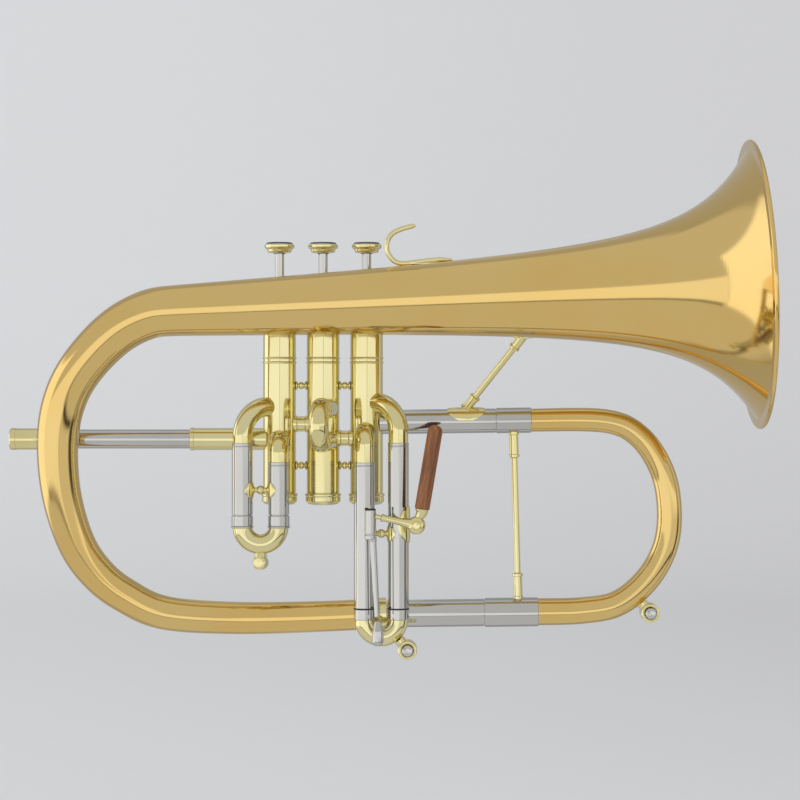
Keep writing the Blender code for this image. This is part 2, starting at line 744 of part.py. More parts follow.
def make_slide_3():
    make_elbow("slide_3_elbow_outer", 2, SLIDE_3_OUTER_X, SLIDE_3_OUTER_PORT, SLIDE_3_OUTER_SLEEVE, OUTER_BEND_R)
    make_elbow("slide_3_elbow_inner", 2, SLIDE_3_INNER_X, SLIDE_3_INNER_PORT, SLIDE_3_INNER_SLEEVE, INNER_BEND_R)
    make_slide_sleeve("slide_3_sleeve_outer", SLIDE_3_OUTER_X, SLIDE_3_OUTER_SLEEVE, SLIDE_3_SEAM)
    make_slide_sleeve("slide_3_sleeve_inner", SLIDE_3_INNER_X, SLIDE_3_INNER_SLEEVE, SLIDE_3_SEAM)
    make_slide_stay("slide_3_stay", SLIDE_3_INNER_X, SLIDE_3_OUTER_X, SLIDE_3_STAY)
    outer, inner = Vector((SLIDE_3_OUTER_X, SLIDE_Y, 0)), Vector((SLIDE_3_INNER_X, SLIDE_Y, 0))
    stations = hairpin(inner, outer, -Z, -SLIDE_3_LEG_TOP, -SLIDE_3_SEAM, -SLIDE_3_BEND, SLIDE_BOW_R)
    pipe("slide_3_bow", stations, "yellow_brass")
    envelope = bow_envelope("slide_3_bow_envelope", stations)
    make_water_key("slide_3_water_key", SLIDE_3_KEY, "nickel_silver", envelope)
    foot_end = Vector((LINK_PIVOT.x + 0.6 * MM, TRIGGER_Y, FOOT_END_Z))
    landing = Vector((foot_end.x, SLIDE_Y - SLIDE_BOW_R + MM, FOOT_END_Z + FOOT_R))
    top = LINK_PIVOT - Z * (LINK_ROD_R + GAP)
    foot = bar(
        "slide_3_foot",
        [(top, LINK_ROD_R), (top.lerp(foot_end, 0.6), FOOT_R * 0.85), (foot_end, FOOT_R)],
        "nickel_silver",
        12,
    )
    block = rod("foot_block", foot_end + Z * FOOT_R, landing, FOOT_R * 0.8, None, 12)
    cut(join(foot, block), envelope)


# Trigger of the third slide

def make_trigger():
    pivot = Vector((TRIGGER_PIVOT_X, TRIGGER_Y, TRIGGER_PIVOT_Z))
    leg = Vector((SLIDE_3_OUTER_X, SLIDE_Y, TRIGGER_PIVOT_Z))
    hub_back = pivot + Y * (TRIGGER_HUB_LENGTH / 2)
    hub_front = pivot - Y * (TRIGGER_HUB_LENGTH / 2)
    post_foot = leg + X * (SLEEVE_R + GAP + SADDLE_THICKNESS / 2)
    post = Vector((TRIGGER_PIVOT_X, SLIDE_Y, TRIGGER_PIVOT_Z))
    head = hub_front - Y * GAP
    stations = [
        (post + Y * 2 * MM, 2.4 * MM),
        (hub_back + Y * (GAP + STEP), 2.4 * MM),
        (hub_back + Y * GAP, TRIGGER_PIN_R),
        (head, TRIGGER_PIN_R),
        (head - Y * STEP, TRIGGER_HEAD_R),
        (head - Y * 1.2 * MM, TRIGGER_HEAD_R),
        (head - Y * 1.6 * MM, TRIGGER_PIN_R),
    ]
    holder = bar("trigger_saddle", stations, "yellow_brass", 12)
    join(holder, rod("trigger_post", post_foot, post, 2.4 * MM, None, 12))
    join(holder, saddle("trigger_pad", leg, Z, X, SLEEVE_R, TRIGGER_SADDLE_REACH))

    lever = rod("trigger_lever", hub_back, hub_front, TRIGGER_HUB_R, "yellow_brass")
    ball = Vector((LINK_X + LINK_PLAY, TRIGGER_Y, LINK_BALL_Z))
    reach = (ball - pivot).normalized()
    neck = ball - reach * (LINK_BARREL_R + 1.2 * MM)
    arm = [
        (pivot, TRIGGER_ARM_R),
        (neck - reach * STEP, TRIGGER_ARM_R),
        (neck, TRIGGER_NECK_R),
        (ball - reach * TRIGGER_BALL_R * 0.8, TRIGGER_NECK_R),
        (ball - reach * TRIGGER_BALL_R * 0.5, TRIGGER_BALL_R),
        (ball + reach * TRIGGER_BALL_R * 0.5, TRIGGER_BALL_R),
        (ball + reach * TRIGGER_BALL_R, TRIGGER_BALL_R * 0.5),
    ]
    start = Vector((GRIP_START.x, TRIGGER_Y, GRIP_START.z))
    end = start + (GRIP_END - GRIP_START).normalized() * GRIP_LENGTH
    along = (end - start).normalized()
    handle = [
        (pivot, TRIGGER_ARM_R),
        (start - along * (GAP + STEP), TRIGGER_ARM_R * 1.1),
        (start - along * GAP, TRIGGER_NECK_R),
        (start + along * 14 * MM, TRIGGER_NECK_R),
    ]
    join(lever, bar("trigger_arm", arm, None, 12), bar("trigger_tang", handle, None, 12))
    cut(lever, rod("trigger_pin_hole", hub_back + Y * MM, hub_front - Y * MM, TRIGGER_PIN_R + GAP, None, 12))

    dome = GRIP_R * 0.3
    hole = TRIGGER_NECK_R + GAP
    outline = [
        (0, GRIP_LENGTH),
        (GRIP_R * 0.7, GRIP_LENGTH - dome * 0.3),
        (GRIP_R, GRIP_LENGTH - dome),
        (GRIP_R, 0.4 * MM),
        (GRIP_R - 0.4 * MM, 0),
        (hole, 0),
        (hole, 15 * MM),
        (0, 15 * MM),
    ]
    turned("trigger_grip", outline, start, along, "rosewood")

    barrel_top = Vector((LINK_X, TRIGGER_Y, LINK_BARREL_TOP))
    barrel_end = Vector((LINK_X, TRIGGER_Y, LINK_BARREL_END))
    link = bar(
        "trigger_link",
        [
            (barrel_top, LINK_BARREL_R),
            (barrel_end, LINK_BARREL_R),
            (barrel_end - Z * STEP, LINK_ROD_R),
            (LINK_PIVOT, LINK_ROD_R * 0.9),
        ],
        "nickel_silver",
        12,
    )
    room = LINK_BALL_Z - 4 * MM
    cut(link, rod("link_bore", Vector((LINK_X, TRIGGER_Y, room)), barrel_top + Z * MM, LINK_BARREL_BORE, None, 12))
    slot = bmesh.new()
    bmesh.ops.create_cube(slot, size=1)
    width = 2 * (TRIGGER_NECK_R + 2 * GAP)
    height = LINK_BARREL_TOP + MM - room
    bmesh.ops.scale(slot, vec=(2 * LINK_BARREL_R, width, height), verts=slot.verts)
    middle = Vector((LINK_X + LINK_BARREL_R, TRIGGER_Y, room + height / 2))
    bmesh.ops.translate(slot, vec=middle, verts=slot.verts)
    mesh = bpy.data.meshes.new("link_slot")
    slot.to_mesh(mesh)
    slot.free()
    cut(link, add_object("link_slot", mesh))


# Leadpipe and tuning slide

def make_leadpipe():
    line = Vector((0, 0, LEADPIPE_HEIGHT))
    start = line + X * (valve_x(0) - CASING_BORE)
    end = line + X * LEADPIPE_SLEEVE_END
    holder = sleeve("leadpipe_sleeve", start, end, LEADPIPE_SLEEVE_R, LEADPIPE_R + GAP, "yellow_brass")
    join(holder, sleeve("leadpipe_sleeve_ring", end, end + X * 1.2 * MM, LEADPIPE_SLEEVE_R + STEP, LEADPIPE_R + GAP))
    cut(holder, ENVELOPES[0])
    shoulder = RECEIVER_END + GAP
    spigot_end = RECEIVER_END - RECEIVER_OVERLAP + GAP
    length = LEADPIPE_TIP - spigot_end
    outline = [
        (LEADPIPE_R, length),
        (LEADPIPE_R, shoulder - spigot_end),
        (LEADPIPE_SPIGOT_R, shoulder - spigot_end),
        (LEADPIPE_SPIGOT_R, 0),
        (LEADPIPE_BORE, 0),
        (LEADPIPE_BORE, length),
    ]
    turned("leadpipe", outline, line + X * spigot_end, X, "nickel_silver")
    length = RECEIVER_END - RECEIVER_MOUTH
    shelf = length - RECEIVER_OVERLAP
    outline = [
        (RECEIVER_R, length),
        (RECEIVER_R, RECEIVER_CHAMFER),
        (RECEIVER_R - RECEIVER_CHAMFER, 0),
        (SOCKET_MOUTH_R, 0),
        (SOCKET_THROAT_R, shelf),
        (LEADPIPE_SPIGOT_R + GAP, shelf),
        (LEADPIPE_SPIGOT_R + GAP, length),
    ]
    receiver = turned("mouthpiece_receiver", outline, line + X * RECEIVER_MOUTH, X, "yellow_brass")
    root = line + X * SCREW_X - Y * (RECEIVER_R - MM)
    head = line + X * SCREW_X - Y * (RECEIVER_R + SCREW_NECK)
    stations = [(root, SCREW_NECK_R), (head, SCREW_NECK_R), (head - Y * STEP, SCREW_R * 0.8)]
    for share, size in ((0.55, 1.0), (1.35, 1.0), (1.9, 0.6)):
        stations.append((head - Y * SCREW_R * share, SCREW_R * size))
    join(receiver, bar("receiver_screw", stations, None, 12))


def upper_line(x):
    """A point on the upper tube's axis, which falls towards the valves."""
    return Vector((x, 0, TUNING_UPPER_Z - (TUNING_UPPER_BEND - x) * math.tan(TUNING_SLOPE)))


def lower_line(x):
    """A point on the lower tube's axis, which is parallel to the upper one."""
    return Vector((x, 0, TUNING_LOWER_Z - (TUNING_LOWER_BEND - x) * math.tan(TUNING_SLOPE)))


def tuning_stations():
    """Stations of the tuning slide from the tip of the upper leg to the tip of the lower one."""
    bore = TUNING_UPPER_LEG_R - TUBE_WALL
    upper = [
        (TUNING_LEG_TIP, TUNING_UPPER_LEG_R),
        (TUNING_UPPER_SEAM + GAP, TUNING_UPPER_LEG_R),
        (TUNING_UPPER_SEAM + GAP + STEP, TUNING_UPPER_FERRULE_R),
        (TUNING_UPPER_BEND - STEP, TUNING_UPPER_FERRULE_R),
        (TUNING_UPPER_BEND, TUNING_BOW_START_R),
    ]
    lower = [
        (TUNING_LOWER_BEND, TUNING_BOW_END_R),
        (TUNING_LOWER_BEND - STEP, TUNING_LOWER_FERRULE_R),
        (TUNING_LOWER_SEAM + GAP + STEP, TUNING_LOWER_FERRULE_R),
        (TUNING_LOWER_SEAM + GAP, TUNING_LOWER_LEG_R),
        (TUNING_LEG_TIP, TUNING_LOWER_LEG_R),
    ]
    start, drop = upper_line(TUNING_UPPER_BEND), TUNING_UPPER_Z - TUNING_LOWER_Z
    reach = TUNING_REACH - TUNING_UPPER_BEND
    points = [start + X * reach * way - Z * drop * fall for way, fall in TUNING_CROWN]
    route = smooth([start, *points, lower_line(TUNING_LOWER_BEND)], 2)[1:-1]
    stations = [(upper_line(x), radius, bore) for x, radius in upper]
    last_bore = TUNING_LOWER_LEG_R - TUBE_WALL
    for place, share in zip(route, distances(route)):
        outer = TUNING_BOW_START_R + (TUNING_BOW_END_R - TUNING_BOW_START_R) * share
        stations.append((place, outer, bore + (last_bore - bore) * share))
    return stations + [(lower_line(x), radius, last_bore) for x, radius in lower]


def make_tuning_slide():
    start = upper_line(valve_x(2) + CASING_BORE)
    bore = TUNING_UPPER_LEG_R + GAP
    tube = sleeve(
        "tuning_sleeve_upper", start, upper_line(TUNING_UPPER_SEAM), TUNING_UPPER_R, bore, "nickel_silver", 14
    )
    cut(tube, ENVELOPES[2])
    start = lower_line(BOW_START_X + GAP)
    bore = TUNING_LOWER_LEG_R + GAP
    end = lower_line(TUNING_LOWER_SEAM)
    sleeve("tuning_sleeve_lower", start, end, TUNING_LOWER_R, bore, "nickel_silver", 14)
    stations = tuning_stations()
    pipe("tuning_bow", stations, "gold_brass", 14)
    envelope = bar("tuning_bow_envelope", [(place, outer + GAP) for place, outer, _ in stations[7:-5]])
    make_water_key("tuning_water_key", TUNING_KEY, "nickel_silver", envelope)

    top, foot = upper_line(TUNING_STAY_X[0]), lower_line(TUNING_STAY_X[1])
    down = (foot - top).normalized()
    top_face = top + down * TUNING_UPPER_FERRULE_R
    foot_face = foot - down * TUNING_LOWER_FERRULE_R
    socket = TUNING_STAY_SOCKET
    stations = [
        (top, TUNING_STAY_SOCKET_R),
        (top_face + down * socket, TUNING_STAY_SOCKET_R),
        (top_face + down * (socket + STEP), TUNING_STAY_R),
        (foot_face - down * (socket + STEP), TUNING_STAY_R),
        (foot_face - down * socket, TUNING_STAY_SOCKET_R),
        (foot, TUNING_STAY_SOCKET_R),
    ]
    stay = bar("tuning_stay", stations, "yellow_brass", 12)
    reach = 3 * TUNING_STAY_SOCKET_R * X
    upper_tool = rod("stay_upper_envelope", top - reach, top + reach, TUNING_UPPER_FERRULE_R + GAP, None, 14)
    lower_tool = rod("stay_lower_envelope", foot - reach, foot + reach, TUNING_LOWER_FERRULE_R + GAP, None, 14)
    cut(stay, upper_tool, lower_tool)


# Bell, main bow and what stands on them

def bell_radius(depth):
    """The bell's outer radius at a depth behind its mouth."""
    flare = sum(size * math.exp(-depth / length) for size, length in BELL_FLARES)
    return BELL_STEM_R - BELL_TAPER * depth + flare


def bell_direction():
    return Vector((math.cos(BELL_RISE), 0, math.sin(BELL_RISE)))


def bell_point(x):
    """The point of the bell's axis at x."""
    return BELL_MOUTH + bell_direction() * ((x - BELL_MOUTH.x) / math.cos(BELL_RISE))


def bell_depths(count, first):
    return [first + (BELL_LENGTH - first) * (i / count) ** 2 for i in range(count + 1)]


def make_bell():
    centre = BELL_R - RIM_WIRE_R
    outline = []
    for turn in range(0, 151, 30):
        angle = math.radians(turn)
        outline.append((centre + RIM_WIRE_R * math.sin(angle), RIM_WIRE_R * (math.cos(angle) - 1)))
    depths = bell_depths(12, 2.6 * MM)
    outline += [(bell_radius(depth), -depth) for depth in depths]
    inner = []
    for depth in bell_depths(12, 0.8 * MM):
        slope = math.atan2(bell_radius(depth) - bell_radius(depth + MM), MM)
        shift = 0 if depth == BELL_LENGTH else BELL_WALL * math.sin(slope)
        inner.append((bell_radius(depth) - BELL_WALL * max(math.cos(slope), 0.5), shift - depth))
    turned("bell", outline + inner[::-1], BELL_MOUTH, bell_direction(), "gold_brass", 24)
    depths = bell_depths(10, 20 * MM)
    outline = [(bell_radius(depth) + GAP, -depth) for depth in depths]
    outline = [(0, outline[0][1]), *outline, (0, outline[-1][1])]
    return turned("bell_envelope", outline, BELL_MOUTH, bell_direction(), None, 24)


def make_main_bow():
    tail = BELL_MOUTH - bell_direction() * (BELL_LENGTH + GAP)
    crest = BOW_CREST_X
    low = lower_line(BOW_START_X)
    ground = -109.0 * MM
    points = [
        low,
        Vector((-8 * MM, -0.3 * MM, -108.5 * MM)),
        Vector((-50 * MM, -1 * MM, ground)),
        Vector((crest + 56.7 * MM, -3 * MM, ground + 3 * MM)),
        Vector((crest + 35.7 * MM, -5 * MM, ground + 12.4 * MM)),
        Vector((crest + 20.7 * MM, -7.5 * MM, ground + 24.4 * MM)),
        Vector((crest + 9.3 * MM, -11 * MM, ground + 41.8 * MM)),
        Vector((crest + 1.6 * MM, -15 * MM, ground + 69 * MM)),
        Vector((crest, -18 * MM, ground + 97.7 * MM)),
        Vector((crest + 4.2 * MM, -20 * MM, tail.z - 48.4 * MM)),
        Vector((crest + 14.3 * MM, -22.3 * MM, tail.z - 30 * MM)),
        Vector((crest + 31.9 * MM, -25.2 * MM, tail.z - 12 * MM)),
        tail - bell_direction() * 16.7 * MM - Z * 1.5 * MM + Y * 0.6 * MM,
        tail,
    ]
    route = smooth(points, 2)
    route.insert(-1, tail - bell_direction() * MM)
    end_r = bell_radius(BELL_LENGTH)
    stations = []
    for place, share in zip(route[1:], distances(route)[1:]):
        outer = BOW_START_R + (end_r - BOW_START_R) * share**BOW_GROWTH
        stations.append((place, outer, outer - TUBE_WALL))
    bore = BOW_START_R - TUBE_WALL
    mouth = [
        (low, BOW_FERRULE_R, bore),
        (lower_line(BOW_START_X - BOW_FERRULE_LENGTH), BOW_FERRULE_R, bore),
        (lower_line(BOW_START_X - BOW_FERRULE_LENGTH - STEP), BOW_START_R, bore),
    ]
    pipe("main_bow", mouth + stations, "gold_brass", 16)


def make_bell_stay(envelope):
    on_sleeve = upper_line(BELL_STAY_X[0])
    target = bell_point(BELL_STAY_X[1])
    depth = BELL_MOUTH.x - BELL_STAY_X[1]
    target -= Z * bell_radius(depth) * 0.95
    target += Y * BELL_STAY_DEPTH
    foot = on_sleeve + Z * (TUNING_UPPER_R + GAP + SADDLE_THICKNESS / 2)
    along = (target - foot).normalized()
    socket = BELL_STAY_SOCKET
    stations = [
        (foot, BELL_STAY_R * 1.6),
        (foot + along * socket, BELL_STAY_R * 1.3),
        (foot + along * (socket + STEP), BELL_STAY_R),
        (target - along * socket, BELL_STAY_R),
        (target - along * (socket - STEP), BELL_STAY_R * 1.3),
        (target, BELL_STAY_R * 1.6),
        (target + along * 5 * MM, BELL_STAY_R * 1.6),
    ]
    stay = bar("bell_stay", stations, "yellow_brass", 12)
    front = Vector((0, -math.sin(BELL_STAY_WRAP), math.cos(BELL_STAY_WRAP)))
    join(stay, saddle("bell_stay_pad", on_sleeve, X, front, TUNING_UPPER_R, BELL_STAY_REACH))
    reach = X * 2 * BELL_STAY_REACH
    around = rod("bell_stay_envelope", on_sleeve - reach, on_sleeve + reach, TUNING_UPPER_R + GAP, None, 16)
    cut(stay, envelope, around)


def make_finger_hook(envelope):
    """A bent wire on top of the bell, whose open side faces the mouth."""
    def on_bell(x, lift):
        depth = BELL_MOUTH.x - x
        return bell_point(x) + Z * (bell_radius(depth) / math.cos(BELL_RISE) + lift)

    rest = GAP + HOOK_R
    low = on_bell(HOOK_BOTTOM_X, rest)
    points = [
        on_bell(HOOK_START_X, rest),
        on_bell((HOOK_START_X + HOOK_BOTTOM_X) / 2, rest),
        low,
        low + Vector((-5.6 * MM, 0, 0.19 * HOOK_HEIGHT)),
        low + Vector((-7.3 * MM, 0, 0.48 * HOOK_HEIGHT)),
        low + Vector((-4.6 * MM, 0, 0.76 * HOOK_HEIGHT)),
        low + Vector((1.2 * MM, 0, 0.91 * HOOK_HEIGHT)),
        low + Vector((8.3 * MM, 0, HOOK_HEIGHT)),
    ]
    hook = bar("finger_hook", [(place, HOOK_R) for place in smooth(points, 2)], "yellow_brass", 10)
    cut(hook, envelope)


clear_scene()
PIECES = new_collection("flugelhorn")
TOOLS = new_collection("flugelhorn_tools")
ENVELOPES = [casing_envelope(number) for number in range(3)]
make_valves()
make_slide_1()
make_slide_2()
make_slide_3()
make_trigger()
make_leadpipe()
make_tuning_slide()
BELL_ENVELOPE = make_bell()
make_main_bow()
make_bell_stay(BELL_ENVELOPE)
make_finger_hook(BELL_ENVELOPE)
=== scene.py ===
"""Fine surfaces, finishes and studio for a flugelhorn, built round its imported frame, in metres."""

import json
import logging
import math
from dataclasses import dataclass, field
from enum import Enum
from typing import Any, Iterable, Sequence

import bmesh
import bpy
from mathutils import Matrix, Vector


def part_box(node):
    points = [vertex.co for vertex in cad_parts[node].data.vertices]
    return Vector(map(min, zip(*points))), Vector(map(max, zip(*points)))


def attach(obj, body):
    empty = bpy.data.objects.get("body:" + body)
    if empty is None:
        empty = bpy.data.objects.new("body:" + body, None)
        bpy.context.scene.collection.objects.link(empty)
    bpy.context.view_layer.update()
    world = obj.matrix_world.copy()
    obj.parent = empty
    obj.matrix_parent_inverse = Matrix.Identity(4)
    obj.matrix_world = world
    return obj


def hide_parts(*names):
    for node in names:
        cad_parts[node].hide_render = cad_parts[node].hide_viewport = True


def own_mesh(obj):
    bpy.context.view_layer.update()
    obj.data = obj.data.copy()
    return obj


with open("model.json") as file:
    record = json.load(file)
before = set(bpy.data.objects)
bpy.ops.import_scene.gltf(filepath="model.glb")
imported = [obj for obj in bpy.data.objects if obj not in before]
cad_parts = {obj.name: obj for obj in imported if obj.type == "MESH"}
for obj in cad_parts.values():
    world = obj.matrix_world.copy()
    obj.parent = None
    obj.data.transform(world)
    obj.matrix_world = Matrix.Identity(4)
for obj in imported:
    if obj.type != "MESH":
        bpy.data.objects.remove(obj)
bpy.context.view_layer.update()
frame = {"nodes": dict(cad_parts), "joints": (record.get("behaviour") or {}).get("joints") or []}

MM = 0.001
X, Y, Z = Vector((1, 0, 0)), Vector((0, 1, 0)), Vector((0, 0, 1))
GAP = 0.3 * MM
HAIR = 0.02 * MM
SHARP_ANGLE = math.radians(32)

LOG = logging.getLogger("flugelhorn")

Ring = list[Vector]
Pair = tuple[float, float]
Outline = list[Pair]
Colour = tuple[float, float, float]


class Finish(Enum):
    """The finishes of the instrument, each named as the record's material slot."""

    GOLD_BRASS = "gold_brass"
    YELLOW_BRASS = "yellow_brass"
    NICKEL_SILVER = "nickel_silver"
    SPRING_STEEL = "spring_steel"
    ROSEWOOD = "rosewood"
    BUTTON_INLAY = "button_inlay"
    BLACK_RUBBER = "black_rubber"
    FELT = "felt"


# Shader graphs


class Socket:
    """One output of a shader node, with arithmetic on its number."""

    def __init__(self, graph: "ShaderGraph", link: Any) -> None:
        """Keeps the graph and the output that this socket stands for."""
        self.graph = graph
        self.link = link

    def math(self, operation: str, *others: Any) -> "Socket":
        """Adds a Math node.

        Args:
            operation: The Math node's operation.
            others: The further operands, as sockets or numbers.

        Returns:
            The node's result.
        """
        inputs = dict(enumerate((self, *others)))
        return self.graph.make("ShaderNodeMath", {"operation": operation}, inputs)

    def __add__(self, other: Any) -> "Socket":
        """The sum."""
        return self.math("ADD", other)

    __radd__ = __add__

    def __mul__(self, other: Any) -> "Socket":
        """The product."""
        return self.math("MULTIPLY", other)

    __rmul__ = __mul__

    def __sub__(self, other: Any) -> "Socket":
        """The difference."""
        return self.math("SUBTRACT", other)

    def __rsub__(self, other: float) -> "Socket":
        """The difference from a number."""
        return self.graph.make("ShaderNodeMath", {"operation": "SUBTRACT"}, {0: other, 1: self})

    def __abs__(self) -> "Socket":
        """The size without its sign."""
        return self.math("ABSOLUTE")

    def band(self, start: float, end: float) -> "Socket":
        """A smooth step.

        Args:
            start: The value at which the result is 0.
            end: The value at which the result is 1.

        Returns:
            The step, between 0 and 1.
        """
        settings = {"interpolation_type": "SMOOTHSTEP"}
        inputs = {"Value": self, "From Min": start, "From Max": end}
        return self.graph.make("ShaderNodeMapRange", settings, inputs)


class ShaderGraph:
    """A node tree that is emptied and filled again."""

    def __init__(self, tree: bpy.types.NodeTree) -> None:
        """Empties the tree and keeps it."""
        self.tree = tree
        tree.nodes.clear()

    def make(
        self, kind: str, settings: dict[str, Any], inputs: dict[Any, Any], output: Any = 0
    ) -> Socket:
        """Adds any node.

        Args:
            kind: The node's type.
            settings: Its properties.
            inputs: Numbers, colours or links, by the input's name or number.
            output: The name or number of the output to return.

        Returns:
            The chosen output.
        """
        node = self.tree.nodes.new(kind)
        for key, value in settings.items():
            setattr(node, key, value)
        for key, value in inputs.items():
            if isinstance(value, Socket):
                self.tree.links.new(value.link, node.inputs[key])
            else:
                node.inputs[key].default_value = value
        return Socket(self, node.outputs[output] if node.outputs else None)

    def place(
        self, stretch: Sequence[float] = (1, 1, 1), turn: Sequence[float] = (0, 0, 0)
    ) -> Socket:
        """Object coordinates, turned and then stretched.

        Args:
            stretch: The factor along each axis.
            turn: The rotation in radians about each axis.

        Returns:
            The coordinates.
        """
        raw = self.make("ShaderNodeTexCoord", {}, {}, "Object")
        turned_round = self.make("ShaderNodeMapping", {}, {"Vector": raw, "Rotation": turn})
        return self.make("ShaderNodeMapping", {}, {"Vector": turned_round, "Scale": stretch})

    def noise(
        self, where: Socket, scale: float, detail: float = 2.0, roughness: float = 0.5
    ) -> Socket:
        """Noise between about 0 and 1.

        Args:
            where: The coordinates.
            scale: How many features there are in a metre.
            detail: The number of finer layers.
            roughness: The weight of the finer layers.

        Returns:
            The noise's value.
        """
        inputs = {"Vector": where, "Scale": scale, "Detail": detail, "Roughness": roughness}
        return self.make("ShaderNodeTexNoise", {}, inputs)

    def blend(self, share: Socket, first: Colour, second: Colour) -> Socket:
        """Mixes two colours.

        Args:
            share: How much of the second colour there is.
            first: The colour where share is 0.
            second: The colour where share is 1.

        Returns:
            The mixed colour.
        """
        inputs = {0: share, 6: (*first, 1), 7: (*second, 1)}
        return self.make("ShaderNodeMix", {"data_type": "RGBA"}, inputs, 2)

    def bump(self, height: Socket, depth: float, strength: float = 1.0) -> Socket:
        """Turns a height into a normal.

        Args:
            height: The height, between 0 and 1.
            depth: What a height of 1 stands for.
            strength: The share of the effect that shows.

        Returns:
            The normal.
        """
        inputs = {"Height": height, "Distance": depth, "Strength": strength}
        return self.make("ShaderNodeBump", {}, inputs)

    def surface(self, inputs: dict[str, Any]) -> None:
        """Ends the graph in a Principled BSDF with these inputs."""
        shader = self.make("ShaderNodeBsdfPrincipled", {}, inputs)
        self.make("ShaderNodeOutputMaterial", {}, {"Surface": shader})


def new_graph(name: str) -> tuple[bpy.types.Material, ShaderGraph]:
    """A material and its empty graph."""
    material = bpy.data.materials.new(name)
    material.use_nodes = True
    return material, ShaderGraph(material.node_tree)


@dataclass(frozen=True)
class LacqueredMetal:
    """Polished metal under clear lacquer, with faint smears, hairlines and a slow change of tint.

    Attributes:
        colour: The metal's main colour.
        warm: The colour that it drifts to.
        roughness: The roughness where it is cleanest.
        smear: How much rougher a smear is.
        lacquer: The weight of the clear coat.
        ripple: The depth of the slow unevenness that buffing leaves.
    """

    colour: Colour
    warm: Colour
    roughness: float = 0.07
    smear: float = 0.06
    lacquer: float = 0.15
    ripple: float = 0.012 * MM

    def material(self, name: str) -> bpy.types.Material:
        """Builds the finish under that name."""
        material, graph = new_graph(name)
        place = graph.place()
        tint = graph.noise(place, 14, 3).band(0.35, 0.7)
        cloud = graph.noise(place, 55, 4, 0.6).band(0.5, 0.78)
        hairline = graph.noise(graph.place((1, 1, 9)), 900, 2, 0.7)
        specks = graph.noise(place, 2600, 1).band(0.66, 0.74)
        smooth = graph.noise(place, 120, 1)
        graph.surface(
            {
                "Base Color": graph.blend(tint * 0.8 + specks * 0.15, self.colour, self.warm),
                "Metallic": 1.0,
                "Roughness": self.roughness + self.smear * cloud + 0.03 * hairline,
                "Coat Weight": self.lacquer,
                "Coat Roughness": 0.04,
                "Normal": graph.bump(smooth + 0.01 * hairline, self.ripple),
            }
        )
        return material


@dataclass(frozen=True)
class Rosewood:
    """Turned rosewood with long dark grain and open pores.

    Attributes:
        light: The colour between the grain lines.
        dark: The colour of the grain lines.
        lean: How far the grain leans from upright, in radians.
    """

    light: Colour = (0.33, 0.135, 0.055)
    dark: Colour = (0.12, 0.04, 0.016)
    lean: float = 0.167

    def material(self, name: str) -> bpy.types.Material:
        """Builds the finish under that name."""
        material, graph = new_graph(name)
        turn = (0, -self.lean, 0)
        along = graph.place((1, 1, 0.06), turn)
        grain = graph.noise(along, 520, 4, 0.65)
        figure = graph.noise(graph.place((1, 1, 0.14), turn), 150, 3)
        pores = graph.noise(graph.place((1, 1, 0.035), turn), 2400, 1).band(0.6, 0.7)
        lines = grain.band(0.42, 0.62) * 0.55 + figure.band(0.4, 0.65) * 0.3 + pores * 0.35
        graph.surface(
            {
                "Base Color": graph.blend(lines.math("MINIMUM", 1.0), self.light, self.dark),
                "Roughness": 0.42 + 0.2 * pores + 0.1 * grain,
                "Specular IOR Level": 0.4,
                "Normal": graph.bump(1 - pores * 0.8 + grain * 0.2, 0.12 * MM, 0.6),
            }
        )
        return material


@dataclass(frozen=True)
class Inlay:
    """A dark shell inlay with a deep cloudy shimmer under a glossy surface."""

    deep: Colour = (0.012, 0.014, 0.03)
    sheen: Colour = (0.05, 0.06, 0.11)

    def material(self, name: str) -> bpy.types.Material:
        """Builds the finish under that name."""
        material, graph = new_graph(name)
        cloud = graph.noise(graph.place((1, 2.4, 1)), 260, 4, 0.6)
        graph.surface(
            {
                "Base Color": graph.blend(cloud.band(0.35, 0.7), self.deep, self.sheen),
                "Roughness": 0.1 + 0.08 * cloud,
                "Coat Weight": 0.6,
                "Coat Roughness": 0.03,
                "Normal": graph.bump(cloud, 0.01 * MM),
            }
        )
        return material


@dataclass(frozen=True)
class MattBlack:
    """Rubber or felt: nearly black, with a fine uneven surface.

    Attributes:
        deep: The darker colour.
        pale: The paler colour.
        scale: How many fibres or pits there are in a metre.
        depth: How deep they are.
        sheen: The weight of the soft glow at the edges.
    """

    deep: Colour
    pale: Colour
    scale: float
    depth: float
    sheen: float = 0.0

    def material(self, name: str) -> bpy.types.Material:
        """Builds the finish under that name."""
        material, graph = new_graph(name)
        fibres = graph.noise(graph.place(), self.scale, 4, 0.7)
        graph.surface(
            {
                "Base Color": graph.blend(fibres.band(0.3, 0.7), self.deep, self.pale),
                "Roughness": 0.55 + 0.3 * fibres,
                "Sheen Weight": self.sheen,
                "Normal": graph.bump(fibres, self.depth),
            }
        )
        return material


RECIPES = {
    Finish.GOLD_BRASS: LacqueredMetal((0.80, 0.58, 0.22), (0.80, 0.54, 0.175)),
    Finish.YELLOW_BRASS: LacqueredMetal((0.84, 0.77, 0.43), (0.80, 0.70, 0.32)),
    Finish.NICKEL_SILVER: LacqueredMetal(
        (0.60, 0.595, 0.575), (0.55, 0.545, 0.52), roughness=0.06, smear=0.05, lacquer=0.1
    ),
    Finish.SPRING_STEEL: LacqueredMetal(
        (0.5, 0.5, 0.52), (0.42, 0.42, 0.43), roughness=0.25, smear=0.1, lacquer=0.0
    ),
    Finish.ROSEWOOD: Rosewood(),
    Finish.BUTTON_INLAY: Inlay(),
    Finish.BLACK_RUBBER: MattBlack((0.008, 0.008, 0.008), (0.03, 0.03, 0.03), 1500, 0.01 * MM),
    Finish.FELT: MattBlack((0.01, 0.01, 0.012), (0.05, 0.045, 0.045), 2200, 0.08 * MM, 0.4),
}


# Mesh work


